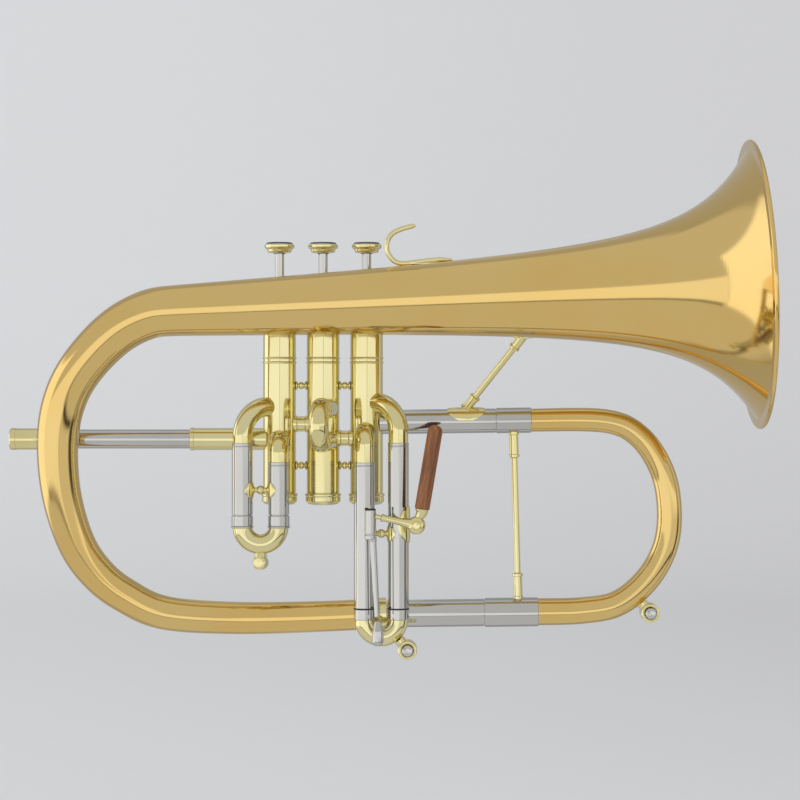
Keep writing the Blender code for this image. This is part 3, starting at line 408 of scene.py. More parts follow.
def lofted(name: str, rings: list[Ring], closed: bool = False) -> bpy.types.Object:
    """Skins neighbouring rings.

    Args:
        name: The piece's name.
        rings: Rings of equally many points, or a single point where the skin closes on its axis.
        closed: Whether the last ring joins the first.

    Returns:
        The piece, smooth shaded with its edges sharp.
    """
    shape = bmesh.new()
    made = [[shape.verts.new(point) for point in ring] for ring in rings]
    pairs = list(zip(made, made[1:] + made[:1]))
    for first, second in pairs if closed else pairs[:-1]:
        count = max(len(first), len(second))
        for i in range(count):
            places = ((first, i), (first, i + 1), (second, i + 1), (second, i))
            corners = [ring[place % count % len(ring)] for ring, place in places]
            shape.faces.new(list(dict.fromkeys(corners)))
    bmesh.ops.recalc_face_normals(shape, faces=shape.faces)
    mesh = bpy.data.meshes.new(name)
    shape.to_mesh(mesh)
    shape.free()
    mesh.shade_smooth()
    mesh.set_sharp_from_angle(angle=SHARP_ANGLE)
    piece = bpy.data.objects.new(name, mesh)
    bpy.context.scene.collection.objects.link(piece)
    return piece


def across(along: Vector) -> tuple[Vector, Vector]:
    """Two directions square to along and to each other."""
    helper = X if abs(along.normalized().x) < 0.7 else Z
    side = along.cross(helper).normalized()
    return side, along.cross(side).normalized()


def near(radius: float, height: float, *moves: Pair) -> Outline:
    """Outline points close to one place.

    Args:
        radius: The place's radius.
        height: The place's height.
        moves: How far outwards and upwards each point is from the place, in millimetres.

    Returns:
        The points.
    """
    return [(radius + out * MM, height + up * MM) for out, up in moves]


def arc(radius: float, height: float, size: float, degrees: Iterable[int]) -> Outline:
    """Outline points on an arc.

    Args:
        radius: The radius of the arc's centre.
        height: The height of the arc's centre.
        size: The arc's own radius.
        degrees: The angle of each point, from outwards towards upwards.

    Returns:
        The points.
    """
    turns = [math.radians(angle) for angle in degrees]
    return [(radius + size * math.cos(turn), height + size * math.sin(turn)) for turn in turns]


def softened(outline: Outline, size: float, steps: int = 3) -> Outline:
    """Rounds the corners of an outline.

    Args:
        outline: (radius, height) points, open where both its ends are on the axis.
        size: How far from a corner its rounding starts.
        steps: The number of facets of a rounding.

    Returns:
        The outline with its corners rounded, apart from those on the axis.
    """
    points = [Vector((radius, height)) for radius, height in outline]
    result: Outline = []
    for i, corner in enumerate(points):
        before, after = points[i - 1], points[(i + 1) % len(points)]
        if corner.x < HAIR:
            result.append((corner.x, corner.y))
            continue
        room = min((before - corner).length, (after - corner).length) * 0.45
        start = corner + (before - corner).normalized() * min(size, room)
        end = corner + (after - corner).normalized() * min(size, room)
        for step in range(steps + 1):
            t = step / steps
            place = start * (1 - t) ** 2 + corner * 2 * t * (1 - t) + end * t**2
            result.append((place.x, place.y))
    return result


def supported(points: Outline, reach: float = 0.12 * MM, closed: bool = True) -> Outline:
    """Adds a point near each end of every long stretch, so that flat stretches shade flat.

    Args:
        points: The points of an outline.
        reach: How far from an end its extra point is.
        closed: Whether the last point joins the first.

    Returns:
        The points with the extra ones.
    """
    result: Outline = []
    pairs = list(zip(points, points[1:] + points[:1]))
    for first, second in pairs if closed else pairs[:-1]:
        start, end = Vector(first), Vector(second)
        result.append(first)
        length = (end - start).length
        if length > 5 * reach:
            share = reach / length
            result += [tuple(start.lerp(end, share)), tuple(end.lerp(start, share))]
    return result if closed else [*result, points[-1]]


@dataclass(frozen=True)
class Knurl:
    """A band of fine upright ridges on a turned piece."""

    low: float
    high: float
    depth: float = 0.12 * MM
    count: int = 44

    def radius(self, radius: float, height: float, angle: float) -> float:
        """The radius at that height and angle, once the ridges are cut."""
        if not self.low <= height <= self.high:
            return radius
        return radius - self.depth * (0.5 - 0.5 * math.cos(self.count * angle))


def turned(
    name: str,
    outline: Outline,
    base: Vector,
    along: Vector,
    segments: int = 64,
    edge: float = 0.25 * MM,
    knurl: Knurl | None = None,
) -> bpy.types.Object:
    """Turns an outline on a lathe.

    Args:
        name: The piece's name.
        outline: (radius, height) points, open where both its ends are on the axis.
        base: The point at height 0.
        along: The direction of the axis.
        segments: The number of facets round the axis.
        edge: The rounding of the corners.
        knurl: A band of ridges, if there is one.

    Returns:
        The turned piece.
    """
    axis = along.normalized()
    first, second = across(axis)
    rings: list[Ring] = []
    closed = outline[0][0] > HAIR or outline[-1][0] > HAIR
    for radius, height in supported(softened(outline, edge), closed=closed):
        centre = base + axis * height
        if radius < HAIR:
            rings.append([centre])
            continue
        ring: Ring = []
        for i in range(segments):
            angle = 2 * math.pi * i / segments
            reach = knurl.radius(radius, height, angle) if knurl else radius
            ring.append(centre + (first * math.cos(angle) + second * math.sin(angle)) * reach)
        rings.append(ring)
    return lofted(name, rings, closed=closed)


def tube_outline(length: float, outer: float, bore: float) -> Outline:
    """The outline of a straight tube from height 0 to length."""
    return [(outer, length), (outer, 0), (bore, 0), (bore, length)]


def smooth(points: list[Vector], per_span: int) -> list[Vector]:
    """Points along a smooth curve.

    Args:
        points: The places that the curve passes through.
        per_span: How many points each stretch between two places gets.

    Returns:
        The points of the curve.
    """
    ends = [2 * points[0] - points[1], *points, 2 * points[-1] - points[-2]]
    route: list[Vector] = []
    for a, b, c, d in zip(ends, ends[1:], ends[2:], ends[3:]):
        for i in range(per_span):
            t = i / per_span
            curve = 2 * b + (c - a) * t
            curve += (2 * a - 5 * b + 4 * c - d) * t**2 + (3 * b - a - 3 * c + d) * t**3
            route.append(0.5 * curve)
    return [*route, points[-1]]


def rounded(corners: list[Vector], bend: float, steps: int = 20) -> list[Vector]:
    """Points along straight runs with rounded corners.

    Args:
        corners: The ends and corners of the runs.
        bend: The bend radius, or the largest that there is room for.
        steps: The number of facets of a bend.

    Returns:
        The points of the route.
    """
    route = [corners[0]]
    for before, corner, after in zip(corners, corners[1:], corners[2:]):
        arrive, leave = (corner - before).normalized(), (after - corner).normalized()
        turn = arrive.angle(leave)
        room = min((corner - before).length, (after - corner).length) - 0.4 * MM
        back = min(bend * math.tan(turn / 2), room)
        centre = corner + (leave - arrive).normalized() * (back / math.sin(turn / 2))
        axis = arrive.cross(leave).normalized()
        start = corner - arrive * back - centre
        turns = [Matrix.Rotation(turn * i / steps, 3, axis) for i in range(steps + 1)]
        route += [centre + part @ start for part in turns]
    return [*route, corners[-1]]


def distances(route: list[Vector]) -> list[float]:
    """How far along the route each point is, from 0 to 1."""
    so_far = [0.0]
    for before, after in zip(route, route[1:]):
        so_far.append(so_far[-1] + (after - before).length)
    return [value / so_far[-1] for value in so_far]


def swept_rings(route: list[Vector], radii: list[float], sides: int) -> list[Ring]:
    """Rings square to a route, which don't twist along it.

    Args:
        route: The centres of the rings.
        radii: The radius of each ring.
        sides: The number of points of a ring.

    Returns:
        The rings.
    """
    heading = (route[1] - route[0]).normalized()
    side, _ = across(heading)
    rings: list[Ring] = []
    for i, (centre, radius) in enumerate(zip(route, radii)):
        before, after = route[max(i - 1, 0)], route[min(i + 1, len(route) - 1)]
        new_heading = (after - before).normalized()
        side = (side - new_heading * side.dot(new_heading)).normalized()
        other = new_heading.cross(side)
        turns = [2 * math.pi * k / sides for k in range(sides)]
        outwards = [side * math.cos(turn) + other * math.sin(turn) for turn in turns]
        rings.append([centre + direction * radius for direction in outwards])
    return rings


def drawn(
    name: str, route: list[Vector], radius: float | list[float], wall: float = 0.0, sides: int = 48
) -> bpy.types.Object:
    """Draws a tube or a bar along a route.

    Args:
        name: The piece's name.
        route: The points of its centre line.
        radius: Its outer radius, or one for each point.
        wall: The tube's wall, or 0 for a solid bar.
        sides: The number of facets round it.

    Returns:
        The tube or bar.
    """
    radii = radius if isinstance(radius, list) else [radius] * len(route)
    outer = swept_rings(route, radii, sides)
    if not wall:
        return lofted(name, [[route[0]], *outer, [route[-1]]])
    inner = swept_rings(route, [value - wall for value in radii], sides)
    return lofted(name, outer + inner[::-1], closed=True)


def between(
    start: Vector, end: Vector, stations: Sequence[Pair]
) -> tuple[list[Vector], list[float]]:
    """A straight route with a radius that changes along it.

    Args:
        start: Where distances start.
        end: The point that the route heads for.
        stations: (distance, radius) pairs, where a negative distance counts back from end.

    Returns:
        The route and its radii.
    """
    along = (end - start).normalized()
    reach = (end - start).length
    places = [(way if way >= 0 else reach + way, radius) for way, radius in stations]
    places = supported(places, closed=False)
    return [start + along * way for way, _ in places], [radius for _, radius in places]


def mirrored(first: Pair, half: Sequence[Pair], last: Pair) -> list[Pair]:
    """The stations of a bar whose two ends are turned alike.

    Args:
        first: The first station.
        half: The stations of the first end, from its tip inwards.
        last: The last station.

    Returns:
        All the stations, where a negative distance counts back from the end.
    """
    return [first, *half, *((-way, radius) for way, radius in half[::-1]), last]


@dataclass(frozen=True)
class SaddlePlate:
    """A thin plate bent round a tube, with its middle crowned and its edge fine.

    Attributes:
        tube_r: The radius of the tube under it.
        along: Half its length along the tube.
        round_tube: Half its length round the tube.
        thickness: Its thickness in the middle.
        fullness: The power of its outline: 2 is an ellipse, and nearer 1 is a diamond.
    """

    tube_r: float
    along: float
    round_tube: float
    thickness: float = 0.9 * MM
    fullness: float = 2.0

    def build(
        self, name: str, centre: Vector, tube_axis: Vector, outward: Vector
    ) -> bpy.types.Object:
        """Builds the plate.

        Args:
            name: The piece's name.
            centre: The point of the tube's axis under its middle.
            tube_axis: The direction of the tube.
            outward: The direction from the tube's axis to the plate's middle.

        Returns:
            The plate.
        """
        axis = tube_axis.normalized()
        out = (outward - axis * outward.dot(axis)).normalized()
        side = axis.cross(out)

        def place(share: float, turn: float, lift: float) -> Vector:
            """The plate's point at a share of its size, in one direction, that far off the tube."""
            size = abs(math.cos(turn)) ** self.fullness + abs(math.sin(turn)) ** self.fullness
            reach = share / size ** (1 / self.fullness)
            angle = reach * math.sin(turn) * self.round_tube / self.tube_r
            radial = out * math.cos(angle) + side * math.sin(angle)
            foot = centre + axis * (reach * math.cos(turn) * self.along)
            return foot + radial * (self.tube_r + lift)

        turns = [2 * math.pi * i / 72 for i in range(72)]
        shares = [i / 10 for i in range(1, 11)]
        rings = [[place(0, 0, self.thickness)]]
        for share in shares:
            lift = self.thickness * (0.35 + 0.65 * math.sqrt(1 - 0.96 * share**4))
            rings.append([place(share, turn, lift) for turn in turns])
        for share in shares[::-1]:
            rings.append([place(share, turn, HAIR) for turn in turns])
        rings.append([place(0, 0, HAIR)])
        return lofted(name, rings)


# Sub-assemblies


def low(node: str) -> Vector:
    """The lowest corner of a frame node."""
    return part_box(node)[0]


def high(node: str) -> Vector:
    """The highest corner of a frame node."""
    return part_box(node)[1]


def middle(node: str) -> Vector:
    """The middle of a frame node's box."""
    return (low(node) + high(node)) / 2


def joint(name: str) -> dict[str, Any]:
    """The frame's joint of that name."""
    return next(entry for entry in frame["joints"] if entry["name"] == name)


class Assembly:
    """What the sub-assemblies share: their finishes, and how a piece is fitted to the frame."""

    materials: dict[Finish, bpy.types.Material] = {}

    def fit(self, piece: bpy.types.Object, finish: Finish, body: str, *nodes: str) -> None:
        """Gives a piece its finish and fits it to the frame.

        Args:
            piece: The new piece.
            finish: Its finish.
            body: The frame's body that it rides on.
            nodes: The frame's nodes that it stands for.
        """
        piece.data.materials.append(self.materials[finish])
        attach(piece, body)
        if nodes:
            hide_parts(*nodes)
        LOG.info("%s: %s on %s", piece.name, finish.value, body)

    def keep(self, node: str, finish: Finish) -> None:
        """Leaves a frame node in view and gives it a finish."""
        slots = frame["nodes"][node].data.materials
        slots.clear()
        slots.append(self.materials[finish])
        LOG.info("%s: kept, %s", node, finish.value)


@dataclass
class Bell(Assembly):
    """The bell: a flare on a slow cone, with a wire rolled into its rim."""

    radius: float = 78.0 * MM
    rim_r: float = 1.3 * MM
    length: float = 312.0 * MM
    stem_r: float = 24.3 * MM
    taper: float = 0.034
    flares: tuple[Pair, ...] = ((22.9 * MM, 60.0 * MM), (29.5 * MM, 21.3 * MM))
    wall: float = 0.6 * MM
    rise: float = math.radians(2.55)
    profile_steps: int = 130

    @property
    def along(self) -> Vector:
        """The direction of the bell's axis, towards its mouth."""
        return Vector((math.cos(self.rise), 0, math.sin(self.rise)))

    @property
    def mouth(self) -> Vector:
        """The centre of the bell's mouth."""
        centre = middle("bell")
        centre.x = high("bell").x - self.radius * math.sin(self.rise)
        return centre

    def outer(self, depth: float) -> float:
        """The outer radius at a depth behind the mouth."""
        flare = sum(size * math.exp(-depth / length) for size, length in self.flares)
        return self.stem_r - self.taper * depth + flare

    def point(self, x: float) -> Vector:
        """The point of the axis at x."""
        return self.mouth + self.along * ((x - self.mouth.x) / self.along.x)

    def build(self) -> None:
        """Builds the bell."""
        centre = self.radius - self.rim_r
        rim = [math.radians(turn) for turn in range(-30, 151, 12)]
        outline = [(centre + self.rim_r * math.sin(a), self.rim_r * (math.cos(a) - 1)) for a in rim]
        start = 2.6 * MM
        shares = [(i / self.profile_steps) ** 2 for i in range(self.profile_steps + 1)]
        depths = [start + (self.length - start) * share for share in shares]
        outline += [(self.outer(depth), -depth) for depth in depths]
        inner = []
        for depth in depths:
            slope = math.atan2(self.outer(depth) - self.outer(depth + MM), MM)
            shift = 0 if depth == self.length else self.wall * math.sin(slope)
            inner.append((self.outer(depth) - self.wall * math.cos(slope), shift - depth))
        outline += inner[::-1]
        bell = turned("bell_flare", outline, self.mouth, self.along, segments=256, edge=0.05 * MM)
        self.fit(bell, Finish.GOLD_BRASS, "body", "bell")


@dataclass
class FingerHook(Assembly):
    """The little-finger hook: a bent wire whose flattened foot lies on the bell."""

    bell: Bell
    wire_r: float = 1.35 * MM
    foot_x: float = 70.7 * MM
    bottom_x: float = 42.5 * MM
    height: float = 20.5 * MM
    turns: tuple[Pair, ...] = ((-5.6, 0.19), (-7.3, 0.48), (-4.6, 0.76), (1.2, 0.91), (8.3, 1.0))
    plate_x: tuple[float, float] = (56.0 * MM, 57.0 * MM)

    def on_bell(self, x: float) -> Vector:
        """The wire's centre where it lies on the bell at x."""
        reach = self.bell.outer(self.bell.mouth.x - x) / math.cos(self.bell.rise)
        return self.bell.point(x) + Z * (reach + self.wire_r + HAIR)

    def build(self) -> None:
        """Builds the hook."""
        halfway = (self.foot_x + self.bottom_x) / 2
        points = [self.on_bell(x) for x in (self.foot_x, halfway, self.bottom_x)]
        points += [points[2] + Vector((x * MM, 0, share * self.height)) for x, share in self.turns]
        route = smooth(points, 12)
        shares = distances(route)
        thins = [min(1, 0.45 + 5 * share, 0.55 + 14 * (1 - share)) for share in shares]
        radii = [self.wire_r * thin for thin in thins]
        route = [
            place - Z * (self.wire_r - radius) * (share < 0.5)
            for place, radius, share in zip(route, radii, shares)
        ]
        wire = drawn("finger_hook_wire", route, radii, sides=28)
        self.fit(wire, Finish.YELLOW_BRASS, "body", "finger_hook")
        under = self.bell.outer(self.bell.mouth.x - self.plate_x[0])
        plate = SaddlePlate(under, 9 * MM, 3.4 * MM, 0.6 * MM)
        foot = plate.build("finger_hook_foot", self.bell.point(self.plate_x[1]), self.bell.along, Z)
        self.fit(foot, Finish.YELLOW_BRASS, "body")


@dataclass
class MainBow(Assembly):
    """The main bow: a growing tube from the lower tuning tube round to the bell's stem."""

    bell: Bell
    start_r: float = 8.4 * MM
    wall: float = 0.55 * MM
    growth: float = 1.7
    ferrule_r: float = 8.9 * MM
    ferrule_length: float = 4.4 * MM
    crest: float = -143.8 * MM
    ground: float = -109.0 * MM

    def route(self) -> list[Vector]:
        """The bow's centre line, from its ferrule to the bell."""
        tail = self.bell.mouth - self.bell.along * self.bell.length
        start = high("main_bow").x
        low_end = Vector((start, 0, low("tuning_sleeve_lower").z + 7.55 * MM))
        crest, ground = self.crest, self.ground
        points = [
            low_end,
            Vector((-8 * MM, -0.3 * MM, ground + 0.5 * MM)),
            Vector((-50 * MM, -1 * MM, ground)),
            Vector((crest + 56.7 * MM, -3 * MM, ground + 3 * MM)),
            Vector((crest + 35.7 * MM, -5 * MM, ground + 12.4 * MM)),
            Vector((crest + 20.7 * MM, -7.5 * MM, ground + 24.4 * MM)),
            Vector((crest + 9.3 * MM, -11 * MM, ground + 41.8 * MM)),
            Vector((crest + 1.6 * MM, -15 * MM, ground + 69 * MM)),
            Vector((crest, -18 * MM, ground + 97.7 * MM)),
            Vector((crest + 4.2 * MM, -20 * MM, tail.z - 48.4 * MM)),
            Vector((crest + 14.3 * MM, -22.3 * MM, tail.z - 30 * MM)),
            Vector((crest + 31.9 * MM, -25.2 * MM, tail.z - 12 * MM)),
            tail - self.bell.along * 16.7 * MM - Z * 1.5 * MM + Y * 0.6 * MM,
            tail,
            tail + self.bell.along * 12 * MM,
        ]
        inside = [tail + self.bell.along * depth * MM for depth in (1, 3)]
        return [*smooth(points, 16)[:-16], *inside]

    def build(self) -> None:
        """Builds the bow and its ferrule."""
        route = self.route()
        end_r = self.bell.outer(self.bell.length)
        shares = distances(route[:-2])
        radii = [self.start_r + (end_r - self.start_r) * share**self.growth for share in shares]
        radii += [end_r - 2 * HAIR, end_r - 4 * HAIR]
        bow = drawn("main_bow_tube", route, radii, self.wall, sides=72)
        self.fit(bow, Finish.GOLD_BRASS, "body", "main_bow")
        length, radius = self.ferrule_length, self.ferrule_r
        ring = turned(
            "main_bow_ferrule",
            [(radius, length), (radius, 0), (self.start_r, 0), (self.start_r, length)],
            route[0],
            (route[2] - route[0]).normalized(),
            edge=0.4 * MM,
        )
        self.fit(ring, Finish.YELLOW_BRASS, "body")


@dataclass
class ValveBlock(Assembly):
    """The three valves: casings, caps, springs, pistons and buttons, and what joins the casings."""

    casing_r: float = 9.0 * MM
    casing_bore: float = 8.3 * MM
    spigot_r: float = 8.65 * MM
    spigot_length: float = 4.5 * MM
    beads: tuple[float, ...] = (34.0 * MM, 31.6 * MM)
    bead_r: float = 0.5 * MM
    top_cap_r: float = 9.6 * MM
    bottom_cap_r: float = 10.0 * MM
    vent_r: float = 2.5 * MM
    cap_wall: float = 1.5 * MM
    stem_r: float = 2.53 * MM
    button_r: float = 8.25 * MM
    inlay_r: float = 7.3 * MM
    felt_r: float = 3.2 * MM
    felt_height: float = 0.3 * MM
    knuckle_r: float = 4.2 * MM
    knuckle_bore: float = 3.7 * MM
    knuckle_half: float = 5.2 * MM
    stroke: float = 16.0 * MM
    wire_r: float = 0.45 * MM
    spring_turns: int = 3
    spring_steps: int = 32

    def casing(self, number: int) -> None:
        """Builds one casing."""
        node = f"valve_casing_{number}"
        top, bottom = high(node).z - self.spigot_length, low(node).z + self.spigot_length
        rim, foot = top + self.spigot_length, bottom - self.spigot_length
        outline = [(self.spigot_r, rim), (self.spigot_r, top), (self.casing_r, top)]
        for height in self.beads:
            outline += arc(self.casing_r - HAIR, height, self.bead_r, range(90, -91, -30))
        outline += [
            (self.casing_r, bottom),
            (self.spigot_r, bottom),
            (self.spigot_r, foot),
            (self.casing_bore, foot),
            (self.casing_bore, rim),
        ]
        base = Vector((middle(node).x, 0, 0))
        piece = turned(f"casing_tube_{number}", outline, base, Z, segments=96, edge=0.12 * MM)
        self.fit(piece, Finish.YELLOW_BRASS, "body", node)

    def caps(self, number: int) -> None:
        """Builds one casing's knurled caps."""
        node = f"top_cap_{number}"
        base = Vector((middle(node).x, 0, 0))
        inside, hole = self.spigot_r + GAP, self.stem_r + GAP
        rim, top, radius = low(node).z, high(node).z, self.top_cap_r
        outline = [
            *near(hole, top, (0, -0.4), (1.2, 0)),
            *near(radius, top, (-2.4, 0), (-1.2, -0.4), (-0.3, -1.6), (-0.3, -2.6), (0, -2.9)),
            *near(radius, rim, (0, 1.4), (-0.35, 1.2), (-0.35, 0)),
            (inside, rim),
            (inside, top - self.cap_wall),
            (hole, top - self.cap_wall),
        ]
        knurl = Knurl(rim + 1.5 * MM, top - 2.9 * MM)
        cap = turned(f"top_cap_cover_{number}", outline, base, Z, 176, 0.15 * MM, knurl)
        self.fit(cap, Finish.YELLOW_BRASS, "body", node)
        node = f"bottom_cap_{number}"
        rim, floor, radius = high(node).z, low(node).z, self.bottom_cap_r
        outline = [
            (inside, rim),
            *near(radius, rim, (-0.4, 0), (0, -0.5), (0, -1.3), (-0.5, -1.9), (-0.35, -2.4)),
            *near(radius, floor, (-0.35, 2.2), (-0.8, 1.5), (-2.2, 0.45), (-4, 0.05)),
            (self.vent_r + 0.9 * MM, floor),
            (self.vent_r, floor + 0.5 * MM),
            (self.vent_r, floor + self.cap_wall),
            (inside, floor + self.cap_wall),
        ]
        knurl = Knurl(floor + 2.1 * MM, rim - 2.3 * MM, 0.1 * MM)
        cap = turned(f"bottom_cap_cover_{number}", outline, base, Z, 176, 0.2 * MM, knurl)
        self.fit(cap, Finish.YELLOW_BRASS, "body", node)

    def spring(self, number: int) -> None:
        """Winds one valve spring."""
        node = f"valve_spring_{number}"
        centre, foot, top = middle(node), low(node).z, high(node).z
        coil_r = (high(node).x - low(node).x) / 2 - self.wire_r
        steps = self.spring_turns * self.spring_steps
        climb = (top - foot - 2 * self.wire_r) / steps
        route: list[Vector] = []
        for step in range(steps + 1):
            turn = math.tau * step / self.spring_steps
            across_x, across_y = coil_r * math.cos(turn), coil_r * math.sin(turn)
            height = foot + self.wire_r + climb * step
            route.append(Vector((centre.x + across_x, across_y, height)))
        wire = drawn(f"piston_spring_{number}", route, self.wire_r, sides=12)
        self.fit(wire, Finish.SPRING_STEEL, "body", node)
        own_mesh(wire)

    def piston(self, number: int) -> None:
        """Dresses one piston and builds its stem, button, inlay and felt."""
        body = f"valve_{number}"
        self.keep(f"piston_{number}", Finish.NICKEL_SILVER)
        axis = Vector((middle(f"piston_{number}").x, 0, 0))
        foot = high(f"top_cap_{number}").z - self.cap_wall
        node = f"finger_button_{number}"
        under, top = low(node).z, high(node).z
        head = under + 2.8 * MM
        stem = [(0, head), (self.stem_r, head), (self.stem_r, foot), (0, foot)]
        self.fit(turned(f"piston_stem_{number}", stem, axis, Z, 48), Finish.NICKEL_SILVER, body)
        edge, recess = self.button_r, self.inlay_r
        outline = [
            (0, top - 1.5 * MM),
            *near(recess, top, (0, -1.5), (0, -1.1), (0.3, -1.05)),
            *near(
                edge, top, (-0.3, -1.2), (0, -1.6), (0, -2.8), (-0.3, -3.4), (-1.4, -3.9),
                (-1.6, -5),
            ),
            (edge - 2.0 * MM, under + 0.3 * MM),
            (self.stem_r + 1.6 * MM, under),
            (self.stem_r + HAIR, under),
            (self.stem_r + HAIR, under + 2.9 * MM),
            (0, under + 2.9 * MM),
        ]
        disc = turned(f"button_disc_{number}", outline, axis, Z, 96, 0.3 * MM)
        self.fit(disc, Finish.YELLOW_BRASS, body, node)
        inlay = [
            (0, top),
            (recess * 0.7, top - 0.04 * MM),
            *near(recess, top, (-0.4, -0.16), (-0.1, -0.4), (-0.1, -1.45)),
            (0, top - 1.45 * MM),
        ]
        shell = turned(f"button_inlay_{number}", inlay, axis, Z, 72, 0.2 * MM)
        self.fit(shell, Finish.BUTTON_INLAY, body)
        base = axis + Z * (under - self.felt_height)
        felt = tube_outline(self.felt_height, self.felt_r, self.stem_r + GAP)
        self.fit(turned(f"button_felt_{number}", felt, base, Z, 64, 0.15 * MM), Finish.FELT, body)

    def spool(self, node: str) -> None:
        """Builds one turned stay between two casings."""
        start, length = low(node).x - GAP, high(node).x - low(node).x + 2 * GAP
        half = length / 2
        outline = [
            *near(0, length, (0, 0), (2.6, 0), (2.4, -0.7), (1.2, -1.3)),
            *near(
                0, half, (1.1, 1.5), (1.7, 1.1), (2.1, 0.4), (2.1, -0.4), (1.7, -1.1), (1.1, -1.5),
            ),
            (1.2 * MM, 1.3 * MM),
            (2.4 * MM, 0.7 * MM),
            (2.6 * MM, 0),
            (0, 0),
        ]
        base = Vector((start, 0, middle(node).z))
        name = node.replace("casing_stay", "casing_spool")
        self.fit(turned(name, outline, base, X, 48, 0.3 * MM), Finish.YELLOW_BRASS, "body", node)

    def knuckle(self, node: str) -> None:
        """Builds one short tube between two casings, with a collar at each end."""
        place = middle(node)
        start, end = place.x - self.knuckle_half, place.x + self.knuckle_half
        length, radius = end - start, self.knuckle_r
        collar = radius + 0.5 * MM
        outline = [
            *near(collar, length, (0, 0), (0, -2.8)),
            (radius, length - 3.1 * MM),
            (radius, 3.1 * MM),
            *near(collar, 0, (0, 2.8), (0, 0)),
            (self.knuckle_bore, 0),
            (self.knuckle_bore, length),
        ]
        base = Vector((start, 0, place.z))
        name = node.replace("casing_knuckle", "knuckle_tube")
        self.fit(turned(name, outline, base, X, 56, 0.2 * MM), Finish.YELLOW_BRASS, "body", node)

    def build(self) -> None:
        """Builds the whole block."""
        for number in (1, 2, 3):
            self.casing(number)
            self.caps(number)
            self.spring(number)
            self.piston(number)
        for gap in (1, 2):
            for row in ("upper", "lower"):
                self.spool(f"casing_stay_{row}_{gap}")
            self.knuckle(f"casing_knuckle_{gap}")


@dataclass
class SlideSizes:
    """The tube sizes that the three valve slides share."""

    leg_r: float = 5.0 * MM
    wall: float = 0.45 * MM
    sleeve_r: float = 5.75 * MM
    sleeve_bore: float = 5.3 * MM
    ferrule_r: float = 5.85 * MM
    bow_r: float = 5.4 * MM
    bend_steps: int = 36


